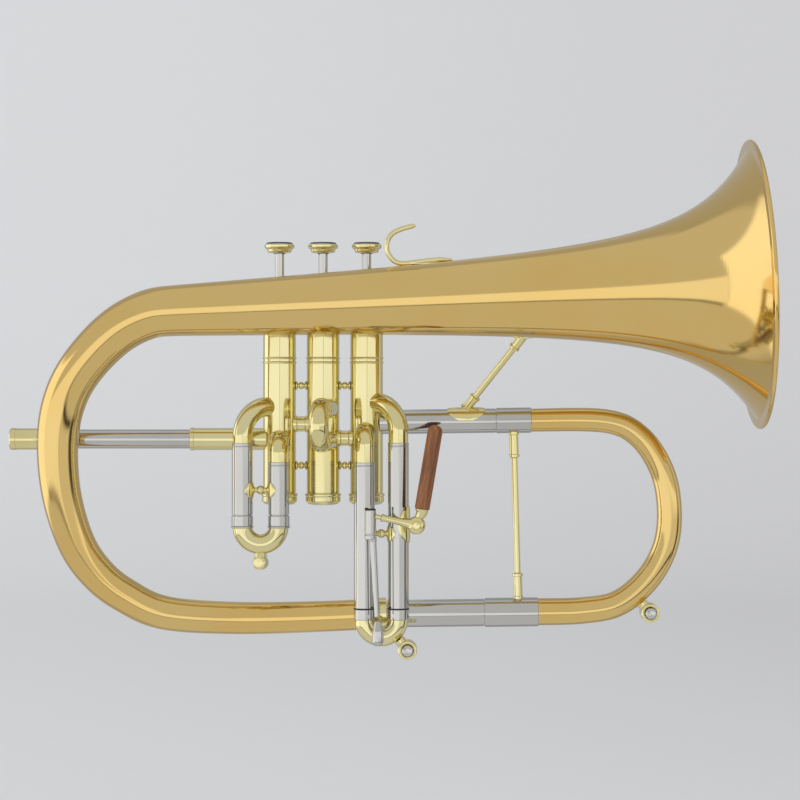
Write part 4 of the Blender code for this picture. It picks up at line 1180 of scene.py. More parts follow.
@dataclass
class ValveSlide(Assembly):
    """One valve slide: crooks from the casing, outer tubes, and the inner slide with its bow.

    Attributes:
        number: The number of its valve.
        body: The body that the inner slide rides on.
        ends: The names of its two legs.
        ring: The finish of the rings at its seams, if there are any.
        sizes: Its tube sizes.
        outer_bend: The bend radius of the outer crook.
        inner_bend: The bend radius of the inner crook.
        crook_start: How far from the valve's axis the crooks start.
        ferrule_length: How far the ferrules reach out from the seam.
        ring_r: The radius of a ring's middle line.
        ring_wire_r: Half the thickness of a ring.
    """

    number: int
    body: str
    ends: tuple[str, str]
    ring: Finish | None = None
    sizes: SlideSizes = field(default_factory=SlideSizes)
    outer_bend: float = 16.5 * MM
    inner_bend: float = 7.3 * MM
    crook_start: float = 7.6 * MM
    ferrule_length: float = 6.0 * MM
    ring_r: float = 5.45 * MM
    ring_wire_r: float = 0.5 * MM

    def sleeve_node(self, end: str) -> str:
        """The frame's node of one outer tube."""
        return f"slide_{self.number}_sleeve_{end}"

    def leg(self, end: str) -> Vector:
        """The point of a leg's axis at its seam."""
        box = middle(self.sleeve_node(end))
        return Vector((box.x, box.y, low(self.sleeve_node(end)).z))

    def crook(self, end: str, casing_x: float) -> None:
        """Builds the bent tube from the casing to one outer tube."""
        node = f"slide_{self.number}_elbow_{end}"
        leg = self.leg(end)
        port = high(node).z - self.sizes.bow_r
        bend = self.outer_bend if end == "outer" else self.inner_bend
        out = Vector((leg.x - casing_x, leg.y, 0)).normalized()
        start = Vector((casing_x, 0, port)) + out * self.crook_start
        foot = Vector((leg.x, leg.y, high(self.sleeve_node(end)).z - 0.5 * MM))
        route = rounded([start, Vector((leg.x, leg.y, port)), foot], bend, 28)
        tube = drawn(f"slide_{self.number}_crook_{end}", route, self.sizes.bow_r, self.sizes.wall)
        self.fit(tube, Finish.YELLOW_BRASS, "body", node)

    def outer_tube(self, end: str) -> None:
        """Builds one outer tube, with a turned band at each end."""
        node = self.sleeve_node(end)
        leg = self.leg(end)
        length, radius = high(node).z - low(node).z, self.sizes.sleeve_r
        groove = radius - 0.22 * MM
        outline = [
            *near(radius, length, (-0.2, 0), (0, -0.3), (0, -1.5)),
            *near(groove, length, (0, -1.7), (0, -1.95)),
            (radius - 0.06 * MM, length - 2.15 * MM),
            *near(radius, 0, (-0.06, 0.3), (-0.25, 0)),
            (self.sizes.sleeve_bore, 0),
            (self.sizes.sleeve_bore, length),
        ]
        tube = turned(f"slide_{self.number}_tube_{end}", outline, leg, Z, 72, 0.08 * MM)
        self.fit(tube, Finish.NICKEL_SILVER, "body", node)

    def inner_slide(
        self, first: Vector, second: Vector, out: Vector, leg_length: float, ferrule: float
    ) -> None:
        """Builds the part that pulls out.

        Args:
            first: The point of the first leg's axis at its seam.
            second: The same for the second leg.
            out: The direction in which the slide pulls out.
            leg_length: How far the legs reach back from the seam.
            ferrule: How far the ferrules reach out from it.
        """
        sizes = self.sizes
        for leg, end in ((first, self.ends[0]), (second, self.ends[1])):
            base = leg - out * leg_length
            tube = turned(
                f"slide_{self.number}_leg_{end}",
                tube_outline(leg_length + 2 * MM, sizes.leg_r, sizes.leg_r - sizes.wall),
                base,
                out,
            )
            self.fit(tube, Finish.NICKEL_SILVER, self.body)
            radius = sizes.ferrule_r
            outline = [
                *near(radius, ferrule, (-0.35, 0.2), (0, -0.2)),
                (radius, GAP + 0.3 * MM),
                (radius - 0.3 * MM, GAP),
                (sizes.leg_r - HAIR, GAP),
                (sizes.leg_r - HAIR, ferrule + 0.2 * MM),
            ]
            band = turned(f"slide_{self.number}_ferrule_{end}", outline, leg, out, 72, 0.1 * MM)
            metal = Finish.YELLOW_BRASS if self.number == 2 else Finish.NICKEL_SILVER
            self.fit(band, metal, self.body)
            if self.ring:
                # Thin black rings at the seams, drawn where a thin dark line runs round each seam.
                loop = arc(self.ring_r, GAP / 2, self.ring_wire_r, range(0, 360, 30))
                ring = turned(f"slide_{self.number}_bumper_{end}", loop, leg, out, 64, 0.05 * MM)
                self.fit(ring, self.ring, self.body)
        centre, half = (first + second) / 2 + out * ferrule, (first - second) / 2
        turns = [math.pi * i / sizes.bend_steps for i in range(sizes.bend_steps + 1)]
        depth = out * half.length
        bend = [centre + half * math.cos(turn) + depth * math.sin(turn) for turn in turns]
        route = [first + out * (ferrule - MM), *bend, second + out * (ferrule - MM)]
        bow = drawn(f"slide_{self.number}_bow_tube", route, sizes.bow_r, sizes.wall)
        self.fit(bow, Finish.YELLOW_BRASS, self.body, f"slide_{self.number}_bow")

    def stay(self, left: str, right: str) -> None:
        """Builds the ball stay between the outer tubes, with a pointed plate on each."""
        node = f"slide_{self.number}_stay"
        height = middle(node).z
        start, end = self.leg(left), self.leg(right)
        start.z = end.z = height
        sunk = X * (self.sizes.sleeve_r - 0.3 * MM)
        ends = (start + sunk, end - sunk)
        length = (ends[1] - ends[0]).length
        neck, ball = 1.35 * MM, 2.45 * MM
        outline = [
            *near(0, length, (0, 0), (2.9, 0), (2.3, -0.9)),
            (neck, length - 1.5 * MM),
            *arc(0, length / 2, ball, range(55, -56, -11)),
            (neck, 1.5 * MM),
            *near(0, 0, (2.3, 0.9), (2.9, 0), (0, 0)),
        ]
        bar = turned(f"slide_{self.number}_stay_ball", outline, ends[0], X, 56, 0.12 * MM)
        self.fit(bar, Finish.YELLOW_BRASS, "body", node)
        plate = SaddlePlate(self.sizes.sleeve_r, 4.5 * MM, 4.9 * MM, 0.7 * MM, 1.75)
        for side, centre, outward in (("left", start, X), ("right", end, -X)):
            forward = outward * math.cos(0.45) - Y * math.sin(0.45)
            piece = plate.build(f"slide_{self.number}_stay_plate_{side}", centre, Z, forward)
            self.fit(piece, Finish.YELLOW_BRASS, "body")

    def build_upright(self, casing_x: float, left: str, right: str, leg_length: float) -> None:
        """Builds an upright slide: the first or the third.

        Args:
            casing_x: The x of its valve.
            left: The name of its left leg, inner or outer.
            right: The name of its right leg.
            leg_length: How far the inner legs reach back from the seam.
        """
        for end in self.ends:
            self.crook(end, casing_x)
            self.outer_tube(end)
        first, second = (self.leg(end) for end in self.ends)
        self.inner_slide(first, second, -Z, leg_length, self.ferrule_length)
        self.stay(left, right)


@dataclass
class SecondSlide(ValveSlide):
    """The second slide, which points forward, with a small brace between its tubes."""

    start_x: float = 3.4 * MM
    sleeve_start: float = 7.0 * MM
    sleeve_end: float = 21.5 * MM
    leg_start: float = 11.0 * MM
    brace_back: float = 5.0 * MM

    def build_forward(self) -> None:
        """Builds the whole slide."""
        out = Vector(joint("second_slide")["axis"]).normalized()
        seams = []
        for end in self.ends:
            node = f"slide_2_sleeve_{end}"
            root = Vector((self.start_x, 0, middle(node).z))
            seams.append(root + out * self.sleeve_end)
            start, sizes = self.sleeve_start, self.sizes
            outline = tube_outline(self.sleeve_end - start, sizes.sleeve_r, sizes.sleeve_bore)
            tube = turned(f"slide_2_tube_{end}", outline, root + out * start, out, 72)
            self.fit(tube, Finish.YELLOW_BRASS, "body", node)
        self.inner_slide(seams[0], seams[1], out, self.sleeve_end - self.leg_start, 7 * MM)
        upper, lower = (seam - out * self.brace_back for seam in seams)
        half = (lower - upper).length / 2
        foot, neck, root_r = 5.2 * MM, 1.3 * MM, 2.2 * MM
        parts = (
            ((foot, root_r), (foot + MM, neck), (foot + 2 * MM, neck)),
            ((half - 1.2 * MM, 1.4 * MM), (half, 2.1 * MM), (half + 1.2 * MM, 1.4 * MM)),
            ((-foot - 2 * MM, neck), (-foot - MM, neck), (-foot, root_r)),
        )
        route, radii = [], []
        for stations in parts:
            places, sizes_there = between(upper, lower, stations)
            route += places
            radii += sizes_there
        brace = drawn("slide_2_brace", route, radii, sides=32)
        self.fit(brace, Finish.YELLOW_BRASS, "body")


@dataclass
class FirstSlide(ValveSlide):
    """The first slide, which ends in a pull knob under its bow."""

    knob_r: float = 4.15 * MM
    knob_length: float = 6.6 * MM
    knob_facing: tuple[float, float, float] = (-0.3, -0.95, 0.06)

    def knob(self) -> None:
        """Builds the pull knob."""
        node = "slide_1_knob"
        floor, top = low(node).z, high(node).z
        centre = Vector((middle(node).x, middle(node).y, floor + self.knob_r))
        neck = near(0, 0, (0, 0), (2.6, 0), (2.6, 2.4), (3.6, 3.2))
        neck += near(0, top - centre.z, (3.6, -2), (3.2, 0.5), (0, 0.5))
        stem = turned("slide_1_neck", neck, centre, Z, 64, 0.3 * MM)
        self.fit(stem, Finish.YELLOW_BRASS, self.body)
        radius, length = self.knob_r - 0.3 * MM, self.knob_length
        outline = [
            (0, 0),
            *near(radius, 0, (-0.9, 0), (-0.1, 0.7), (0, 1.4)),
            *near(radius, length, (0, -1), (-0.6, -0.35), (-1, -0.3), (-1.3, -0.05)),
            (0, length),
        ]
        facing = Vector(self.knob_facing).normalized()
        base = centre - facing * length / 2
        knob = turned("slide_1_pull", outline, base, facing, 72, 0.2 * MM)
        self.fit(knob, Finish.YELLOW_BRASS, self.body, node)
        collar = near(0, 0, (5.9, 0), (6.2, 0.6), (5.9, 1.2), (5.3, 1.2), (5.3, 0))
        for end in self.ends:
            foot = self.leg(end) - Z * (self.ferrule_length + 1.2 * MM)
            ring = turned(f"slide_1_collar_{end}", collar, foot, Z, 64, 0.15 * MM)
            self.fit(ring, Finish.NICKEL_SILVER, self.body)

    def build(self) -> None:
        """Builds the whole slide."""
        self.build_upright(middle("valve_casing_1").x, "outer", "inner", 26 * MM)
        self.knob()


@dataclass
class WaterKey(Assembly):
    """A push-button water key: a barrel across the tube with a spring button in its face.

    Attributes:
        name: The start of its pieces' names.
        body: The body that the barrel rides on.
        button_body: The body that the button rides on.
        barrel_r: The barrel's radius.
        button_r: The button's radius.
        neck_r: The radius of the neck between the barrel and the bow.
        neck_in: How far the neck starts inside the barrel.
        neck_out: How far it reaches out of the barrel.
        seat: The direction of the bow, from +X towards +Z.
    """

    name: str
    body: str
    button_body: str
    barrel_r: float = 5.2 * MM
    button_r: float = 3.1 * MM
    neck_r: float = 3.0 * MM
    neck_in: float = 0.8 * MM
    neck_out: float = 1.9 * MM
    seat: float = math.radians(130)

    def build(self) -> None:
        """Builds the barrel, the button, and the neck that seats the barrel on its bow."""
        centre = middle(self.name)
        front, back = low(self.name).y, high(self.name).y
        base = Vector((centre.x, back, centre.z))
        length, radius, button = back - front, self.barrel_r, self.button_r
        outline = [
            (0, 0),
            *near(radius, 0, (-0.6, 0), (0, 0.6)),
            *near(
                radius, length, (0, -3), (-0.25, -2.8), (-0.25, -2.3), (0, -2.1), (0, -0.5),
                (-0.5, 0), (-1, 0), (-1.2, -0.35),
            ),
            (button + 0.5 * MM, length - 0.35 * MM),
            (button + GAP, length - 0.6 * MM),
            (button + GAP, 2.0 * MM),
            (0, 2.0 * MM),
        ]
        barrel = turned(f"{self.name}_barrel", outline, base, -Y, 80, 0.12 * MM)
        self.fit(barrel, Finish.YELLOW_BRASS, self.body, self.name)
        towards = Vector((math.cos(self.seat), 0, math.sin(self.seat)))
        reach = self.neck_in + self.neck_out
        sides = [(0, 0), (self.neck_r, 0), (self.neck_r, reach), (0, reach)]
        base = centre + towards * (radius - self.neck_in)
        neck = turned(f"{self.name}_neck", sides, base, towards, 40)
        self.fit(neck, Finish.YELLOW_BRASS, self.body)
        node = f"{self.name}_button"
        end = back - low(node).y
        start = back - high(node).y
        face = [
            (0, start),
            (button, start),
            *near(button, end, (0, -0.7), (-0.7, 0), (-1.5, -0.25)),
            (0, end - 0.4 * MM),
        ]
        base = Vector((centre.x, back, centre.z))
        cap = turned(f"{self.name}_cap", face, base, -Y, 56, 0.25 * MM)
        self.fit(cap, Finish.NICKEL_SILVER, self.button_body, node)


@dataclass
class ThirdSlide(ValveSlide):
    """The third slide, with thin black rings at its seams and a water key in its bow."""

    def build(self) -> None:
        """Builds the whole slide."""
        self.build_upright(middle("valve_casing_3").x, "inner", "outer", 76 * MM)
        WaterKey("slide_3_water_key", "third_slide", "third_key_button").build()


@dataclass
class TuningSlide(Assembly):
    """The tuning slide: two fixed tubes, and a growing bow with a stay and a water key."""

    upper_r: float = 6.7 * MM
    upper_leg_r: float = 5.9 * MM
    lower_r: float = 7.55 * MM
    lower_leg_r: float = 6.75 * MM
    slope: float = math.radians(0.75)
    upper_z: float = -0.1 * MM
    lower_z: float = -105.75 * MM
    upper_bend: float = 114.6 * MM
    lower_bend: float = 118.5 * MM
    upper_seam: float = 95.1 * MM
    lower_seam: float = 88.7 * MM
    leg_tip: float = 44.0 * MM
    leg_wall: float = 0.5 * MM
    ferrules: tuple[float, float] = (7.0 * MM, 8.0 * MM)
    bow_radii: tuple[float, float] = (6.35 * MM, 7.45 * MM)
    wall: float = 0.55 * MM
    stay_sunk: float = 0.6 * MM
    sleeve_bores: tuple[float, float] = (6.2 * MM, 7.05 * MM)
    crown: tuple[Pair, ...] = (
        (0.54, 0.005),
        (0.79, 0.09),
        (0.95, 0.27),
        (1.0, 0.47),
        (0.97, 0.66),
        (0.84, 0.83),
        (0.63, 0.955),
        (0.37, 0.993),
    )

    @property
    def along(self) -> Vector:
        """The direction in which the slide pulls out."""
        return Vector((math.cos(self.slope), 0, math.sin(self.slope)))

    def upper(self, x: float) -> Vector:
        """The point of the upper tube's axis at x."""
        return Vector((x, 0, self.upper_z - (self.upper_bend - x) * math.tan(self.slope)))

    def lower(self, x: float) -> Vector:
        """The point of the lower tube's axis at x."""
        return Vector((x, 0, self.lower_z - (self.lower_bend - x) * math.tan(self.slope)))

    def fixed_tube(self, node: str, start: Vector, end: Vector, radius: float, bore: float) -> None:
        """Builds one fixed tube."""
        outline = tube_outline((end - start).length, radius, bore)
        tube = turned(node.replace("sleeve", "tube"), outline, start, end - start, 80, 0.2 * MM)
        self.fit(tube, Finish.NICKEL_SILVER, "body", node)

    def bow(self) -> None:
        """Builds the slide's legs, ferrules and bow."""
        parts = (
            ("upper", self.upper, self.upper_seam, self.upper_bend, self.upper_leg_r),
            ("lower", self.lower, self.lower_seam, self.lower_bend, self.lower_leg_r),
        )
        for (name, line, seam, bend, leg_r), ferrule_r in zip(parts, self.ferrules):
            start, end = line(self.leg_tip), line(bend)
            outline = tube_outline((end - start).length, leg_r, leg_r - self.leg_wall)
            leg = turned(f"tuning_leg_{name}", outline, start, self.along)
            self.fit(leg, Finish.NICKEL_SILVER, "tuning_slide")
            face = line(seam) + self.along * GAP
            length = (end - face).length
            outline = [
                *near(ferrule_r, length, (-0.3, 0), (0, -0.3)),
                *near(ferrule_r, 0, (0, 0.2), (-0.2, 0)),
                (leg_r - HAIR, 0),
                (leg_r - HAIR, length),
            ]
            band = turned(f"tuning_ferrule_{name}", outline, face, self.along, 80, 0.12 * MM)
            self.fit(band, Finish.NICKEL_SILVER, "tuning_slide")
        top, foot = self.upper(self.upper_bend), self.lower(self.lower_bend)
        first, last = self.bow_radii
        reach = high("tuning_bow").x - first * 0.56 - last * 0.44 - self.upper_bend
        drop = top.z - foot.z
        points = [top - self.along * 2 * MM, top]
        for share, fall in self.crown:
            points.append(Vector((self.upper_bend + share * reach, 0, top.z - fall * drop)))
        points += [foot, foot - self.along * 2 * MM]
        route = smooth(points, 16)[16:-16]
        radii = [first + (last - first) * share for share in distances(route)]
        tube = drawn("tuning_bow_tube", route, radii, self.wall, sides=72)
        self.fit(tube, Finish.GOLD_BRASS, "tuning_slide", "tuning_bow")

    def stay(self) -> None:
        """Builds the long stay between the slide's ferrules."""
        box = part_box("tuning_stay")
        bar, socket, collar = 1.75 * MM, 2.5 * MM, 2.95 * MM
        top_x, bottom_x = box[0].x + socket, box[1].x - socket
        top = self.upper(top_x) - Z * (self.ferrules[0] - self.stay_sunk)
        bottom = self.lower(bottom_x) + Z * (self.ferrules[1] - self.stay_sunk)
        half = (
            (1.3 * MM, collar),
            (1.7 * MM, socket),
            (12.2 * MM, socket),
            (12.5 * MM, collar),
            (13.7 * MM, collar),
            (14.1 * MM, 2.1 * MM),
            (14.5 * MM, bar),
        )
        route, radii = between(top, bottom, mirrored((0.0, collar), half, (-0.01 * MM, collar)))
        piece = drawn("tuning_stay_bar", route, radii, sides=40)
        self.fit(piece, Finish.YELLOW_BRASS, "tuning_slide", "tuning_stay")

    def build(self) -> None:
        """Builds the whole slide."""
        tilt = self.upper_r * math.sin(self.slope)
        node = "tuning_sleeve_upper"
        start, end = self.upper(low(node).x - 1.2 * MM + tilt), self.upper(self.upper_seam)
        self.fixed_tube(node, start, end, self.upper_r, self.sleeve_bores[0])
        node = "tuning_sleeve_lower"
        start, end = self.lower(low(node).x + tilt), self.lower(self.lower_seam)
        self.fixed_tube(node, start, end, self.lower_r, self.sleeve_bores[1])
        self.bow()
        self.stay()
        WaterKey("tuning_water_key", "tuning_slide", "tuning_key_button").build()


@dataclass
class Leadpipe(Assembly):
    """The mouthpipe's outer tube, the pipe that slides in it, and the mouthpiece receiver."""

    sleeve_r: float = 6.35 * MM
    pipe_r: float = 5.3 * MM
    pipe_bore: float = 4.6 * MM
    receiver_r: float = 6.05 * MM
    mouth_r: float = 4.9 * MM
    throat_r: float = 4.3 * MM
    screw_x: float = -156.0 * MM
    screw_r: float = 2.3 * MM
    screw_length: float = 5.9 * MM

    def build(self) -> None:
        """Builds the three pieces and the screw that holds the pipe."""
        axis_z = middle("leadpipe_sleeve").z
        start, end = low("leadpipe_sleeve").x, high("leadpipe_sleeve").x + 1.2 * MM
        length, radius = end - start, self.sleeve_r
        outline = near(radius, 0, (-0.25, 0), (0, 0.35), (0, 1.9), (-0.3, 2.1))
        bore = self.pipe_r + GAP
        outline += [(radius - 0.3 * MM, length), (bore, length), (bore, 0)]
        tube = turned("leadpipe_tube", outline, Vector((start, 0, axis_z)), X, 80, 0.1 * MM)
        self.fit(tube, Finish.YELLOW_BRASS, "body", "leadpipe_sleeve")
        start, end = low("leadpipe").x, high("leadpipe").x
        outline = tube_outline(end - start, self.pipe_r - HAIR, self.pipe_bore)
        pipe = turned("leadpipe_slide", outline, Vector((start, 0, axis_z)), X, 80)
        self.fit(pipe, Finish.NICKEL_SILVER, "mouthpipe", "leadpipe")
        start = low("mouthpiece_receiver").x
        length, radius = high("mouthpiece_receiver").x - start, self.receiver_r
        outline = [
            *near(radius, 0, (-0.7, 0), (-0.1, 0.5), (0, 1.1), (0, 3.2), (-0.2, 3.5)),
            *near(radius, length, (-0.2, -4), (0, -3.7), (0, -0.6), (-0.45, 0)),
            (self.pipe_r + HAIR, length),
            (self.pipe_r + HAIR, length - 8.5 * MM),
            (self.throat_r, length - 9.0 * MM),
            *near(self.mouth_r, 0, (0, 0.6), (0.35, 0)),
        ]
        tube = turned("receiver_tube", outline, Vector((start, 0, axis_z)), X, 80, 0.15 * MM)
        self.fit(tube, Finish.YELLOW_BRASS, "mouthpipe", "mouthpiece_receiver")
        root = Vector((self.screw_x, 0, axis_z)) - Y * (self.receiver_r - 0.6 * MM)
        length, radius, neck = self.screw_length, self.screw_r, 1.3 * MM
        outline = [(0, 0), *near(neck, 0, (0.8, 0), (0.8, 0.9), (0, 1.2), (0, 1.6))]
        outline += [*arc(0, length - radius, radius, range(-50, 76, 25)), (0, length)]
        screw = turned("receiver_screw", outline, root, -Y, 48, 0.1 * MM)
        self.fit(screw, Finish.YELLOW_BRASS, "mouthpipe")


@dataclass
class BellStay(Assembly):
    """The slanted stay from the upper tuning tube to the bell."""

    bell: Bell
    tuning: TuningSlide
    foot_x: float = 78.8 * MM
    head_x: float = 109.4 * MM
    bar_r: float = 1.75 * MM
    socket_r: float = 2.5 * MM
    head_drop: float = 0.95
    head_forward: float = 6.0 * MM
    tilt: float = math.radians(26)

    def build(self) -> None:
        """Builds the stay and its plates."""
        root = self.tuning.upper(self.foot_x)
        front = Z * math.cos(self.tilt) - Y * math.sin(self.tilt)
        axis = self.bell.point(self.head_x)
        radius = self.bell.outer(self.bell.mouth.x - self.head_x)
        head = axis - Z * radius * self.head_drop + Y * self.head_forward
        start = root + Z * (self.tuning.upper_r + 0.2 * MM)
        collar = self.socket_r + 0.5 * MM
        half = (
            (7.6 * MM, self.socket_r),
            (7.9 * MM, collar),
            (8.9 * MM, collar),
            (9.3 * MM, 2.0 * MM),
            (9.6 * MM, self.bar_r),
        )
        foot = [(0.0, collar + 0.4 * MM), (0.9 * MM, collar)]
        stations = mirrored((1.5 * MM, self.socket_r), half, (-0.5 * MM, self.socket_r))
        route, radii = between(start, head, foot + stations)
        piece = drawn("bell_stay_bar", route, radii, sides=40)
        self.fit(piece, Finish.YELLOW_BRASS, "body", "bell_stay")
        plate = SaddlePlate(self.tuning.upper_r, 10.6 * MM, 7.6 * MM, 0.9 * MM, 2.0)
        piece = plate.build("bell_stay_foot", root, self.tuning.along, front)
        self.fit(piece, Finish.YELLOW_BRASS, "body")
        plate = SaddlePlate(radius, 6.5 * MM, 5.0 * MM, 0.8 * MM, 1.9)
        piece = plate.build("bell_stay_pad", axis, self.bell.along, head - axis)
        self.fit(piece, Finish.YELLOW_BRASS, "body")


@dataclass
class Trigger(Assembly):
    """The thumb trigger of the third slide: saddle, lever, rosewood grip, link and foot."""

    slide: SlideSizes = field(default_factory=SlideSizes)
    hub_r: float = 4.9 * MM
    hub_length: float = 7.0 * MM
    post_r: float = 2.3 * MM
    boss_r: float = 2.4 * MM
    arm_r: float = 2.2 * MM
    grip_r: float = 4.05 * MM
    rod_r: float = 1.7 * MM
    link_r: float = 3.1 * MM
    link_bore: float = 2.45 * MM
    link_x: float = 26.4 * MM
    barrel_end: float = -64.6 * MM
    ball_r: float = 1.5 * MM
    ball_place: tuple[float, float] = (26.9 * MM, -51.4 * MM)
    grip_foot: tuple[float, float] = (54.3 * MM, -48.0 * MM)
    grip_lean: tuple[float, float] = (7.7 * MM, 45.7 * MM)
    grip_length: float = 46.0 * MM
    foot_r: float = 3.2 * MM
    block_r: float = 2.6 * MM

    @property
    def plane(self) -> float:
        """The y of the plane that the trigger works in."""
        return middle("trigger_link").y

    @property
    def pivot(self) -> Vector:
        """The lever's pivot."""
        return Vector(joint("trigger_lever")["pos_m"])

    def saddle(self) -> None:
        """Builds the half-round plate, the post and the boss on the outer tube."""
        pivot, sleeve = self.pivot, middle("slide_3_sleeve_outer")
        leg = Vector((sleeve.x, sleeve.y, pivot.z))
        plate = SaddlePlate(self.slide.sleeve_r, 10.2 * MM, 7.6 * MM, 0.8 * MM, 1.8)
        outward = Vector((math.cos(0.3), -math.sin(0.3), 0))
        piece = plate.build("trigger_plate", leg, Z, outward)
        self.fit(piece, Finish.YELLOW_BRASS, "body", "trigger_saddle")
        start, end = leg + X * 5.0 * MM, Vector((pivot.x, leg.y, pivot.z))
        stations = ((0, 3.2 * MM), (1.2 * MM, self.post_r), (-0.3 * MM, self.post_r))
        route, radii = between(start, end, stations)
        self.fit(drawn("trigger_post", route, radii, sides=40), Finish.YELLOW_BRASS, "body")
        end = Vector((pivot.x, pivot.y + self.hub_length / 2 + GAP, pivot.z))
        length = high("trigger_saddle").y - end.y
        outline = [(0, 0), (self.boss_r, 0), (self.boss_r, length), (0, length)]
        self.fit(turned("trigger_boss", outline, end, Y, 48, 0.4 * MM), Finish.YELLOW_BRASS, "body")

    def lever(self) -> None:
        """Builds the lever's hub, its screw, its two arms and the ball of its joint."""
        body, pivot = "trigger_lever", self.pivot
        length, radius = self.hub_length, self.hub_r
        outline = [
            (0, 0),
            *near(radius, 0, (-0.4, 0), (0, 0.5)),
            *near(radius, length, (0, -2.2), (-0.4, -1.2), (-1.3, -0.4)),
            *near(0, length, (2.6, 0), (2.4, -0.25), (0, -0.25)),
        ]
        base = pivot + Y * length / 2
        hub = turned("trigger_hub", outline, base, -Y, 72, 0.3 * MM)
        self.fit(hub, Finish.YELLOW_BRASS, body, "trigger_lever")
        head = near(0, 0, (0, 0), (2.2, 0), (2.2, 1.2), (1.7, 1.45), (0, 1.55))
        place = base - Y * (length - 0.25 * MM)
        screw = turned("trigger_screw", head, place, -Y, 48, 0.1 * MM)
        self.fit(screw, Finish.YELLOW_BRASS, "body")
        grip, upward = self.grip_axis()
        points = [pivot, pivot + upward * 3.0 * MM]
        points += [grip - upward * 2.2 * MM, grip - upward * 0.02 * MM]
        route = smooth(points, 8)
        widths = [max(0, share - 0.45) / 0.55 for share in distances(route)]
        radii = [self.arm_r + (self.grip_r - 0.3 * MM - self.arm_r) * width for width in widths]
        self.fit(drawn("trigger_arm_grip", route, radii, sides=40), Finish.YELLOW_BRASS, body)
        ball = Vector((self.ball_place[0], pivot.y, self.ball_place[1]))
        stations = (
            (0, self.arm_r),
            (4.0 * MM, 3.1 * MM),
            (6.0 * MM, 2.5 * MM),
            (9.0 * MM, 2.05 * MM),
            (12.0 * MM, 1.85 * MM),
            (-7.2 * MM, 1.8 * MM),
            (-6.7 * MM, 2.1 * MM),
            (-5.7 * MM, 2.1 * MM),
            (-5.2 * MM, 1.2 * MM),
            (-0.5 * MM, 1.2 * MM),
        )
        route, radii = between(pivot, ball, stations)
        self.fit(drawn("trigger_arm_link", route, radii, sides=40), Finish.YELLOW_BRASS, body)
        outline = arc(0, 0, self.ball_r, range(90, -91, -15))
        self.fit(turned("trigger_ball", outline, ball, Z, 40, 0), Finish.SPRING_STEEL, body)

    def grip_axis(self) -> tuple[Vector, Vector]:
        """The foot of the grip and its direction."""
        foot = Vector((self.grip_foot[0], self.pivot.y, self.grip_foot[1]))
        return foot, Vector((self.grip_lean[0], 0, self.grip_lean[1])).normalized()

    def grip(self) -> None:
        """Builds the rosewood grip."""
        start, upward = self.grip_axis()
        radius, length = self.grip_r, self.grip_length
        outline = [
            (0, 0),
            *near(radius, 0, (-0.5, 0), (0, 0.6)),
            *near(radius, length, (0, -3.6), (-0.35, -2), (-1.2, -0.8), (-2.6, -0.15)),
            (0, length),
        ]
        piece = turned("trigger_handle", outline, start, upward, 72, 0.8 * MM)
        self.fit(piece, Finish.ROSEWOOD, "trigger_lever", "trigger_grip")

    def link(self) -> None:
        """Builds the link's barrel and its tapering rod."""
        top = high("trigger_link").z - 0.6 * MM
        axis, bottom, radius = Vector((self.link_x, self.plane, 0)), self.barrel_end, self.link_r
        outline = [
            (0, top - 9 * MM),
            *near(self.link_bore, top, (0, -8.7), (0, 0)),
            *near(radius, top, (-0.3, 0), (0, -0.4)),
            *near(
                radius, bottom, (0, 3.4), (-0.25, 3.1), (-0.25, 2.6), (0, 2.3), (0, 0.5), (-0.6, 0),
            ),
            (0, bottom),
        ]
        barrel = turned("trigger_barrel", outline, axis, Z, 64, 0.15 * MM)
        self.fit(barrel, Finish.NICKEL_SILVER, "trigger_link", "trigger_link")
        # Painted shade: a thin black ring with the black rubber finish on top of the barrel,
        # standing in for the dark shade line there.
        shadow_ring_outline = tube_outline(0.6 * MM, radius - 0.2 * MM, self.link_bore)
        ring = turned("trigger_shadow_ring", shadow_ring_outline, axis + Z * (top + HAIR), Z, 56, 0.12 * MM)
        self.fit(ring, Finish.BLACK_RUBBER, "trigger_link")
        start = Vector((self.link_x + 1.3 * MM, self.plane, bottom + 1.2 * MM))
        end = Vector(joint("trigger_link")["pos_m"])
        thick, thin = 2.1 * MM, 1.5 * MM
        stations = (
            (0, thick),
            (1.6 * MM, thick),
            (2.2 * MM, 1.9 * MM),
            (-2.0 * MM, thin),
            (-0.01 * MM, thin),
        )
        route, radii = between(start, end, stations)
        self.fit(drawn("trigger_rod", route, radii, sides=36), Finish.NICKEL_SILVER, "trigger_link")

    def foot(self) -> None:
        """Builds the drop-shaped foot on the third slide's bow."""
        floor, top = low("slide_3_foot").z, high("slide_3_foot").z
        pivot = Vector(joint("trigger_link")["pos_m"])
        base = Vector((pivot.x + 0.4 * MM, pivot.y, floor))
        length, radius = top - floor, self.foot_r
        outline = [
            (0, 0),
            (radius * 0.55, 0.3 * MM),
            (radius * 0.9, 1.3 * MM),
            (radius, 2.8 * MM),
            (radius * 0.97, 5 * MM),
            (radius * 0.9, length * 0.6),
            *near(self.rod_r, length, (0.5, -2.6), (0, -0.5)),
            (0, length),
        ]
        drop = turned("trigger_foot", outline, base, Z, 56, 0.6 * MM)
        self.fit(drop, Finish.NICKEL_SILVER, "third_slide", "slide_3_foot")
        back_y = middle("slide_3_sleeve_inner").y - self.slide.bow_r + MM
        back, reach = Vector((base.x, back_y, floor + radius)), base.y - back_y
        outline = [(0, 0), (self.block_r, 0), (self.block_r, reach), (0, reach)]
        block = turned("trigger_foot_block", outline, back, -Y, 40)
        self.fit(block, Finish.NICKEL_SILVER, "third_slide")

    def build(self) -> None:
        """Builds the whole trigger."""
        self.saddle()
        self.lever()
        self.grip()
        self.link()
        self.foot()


# Studio


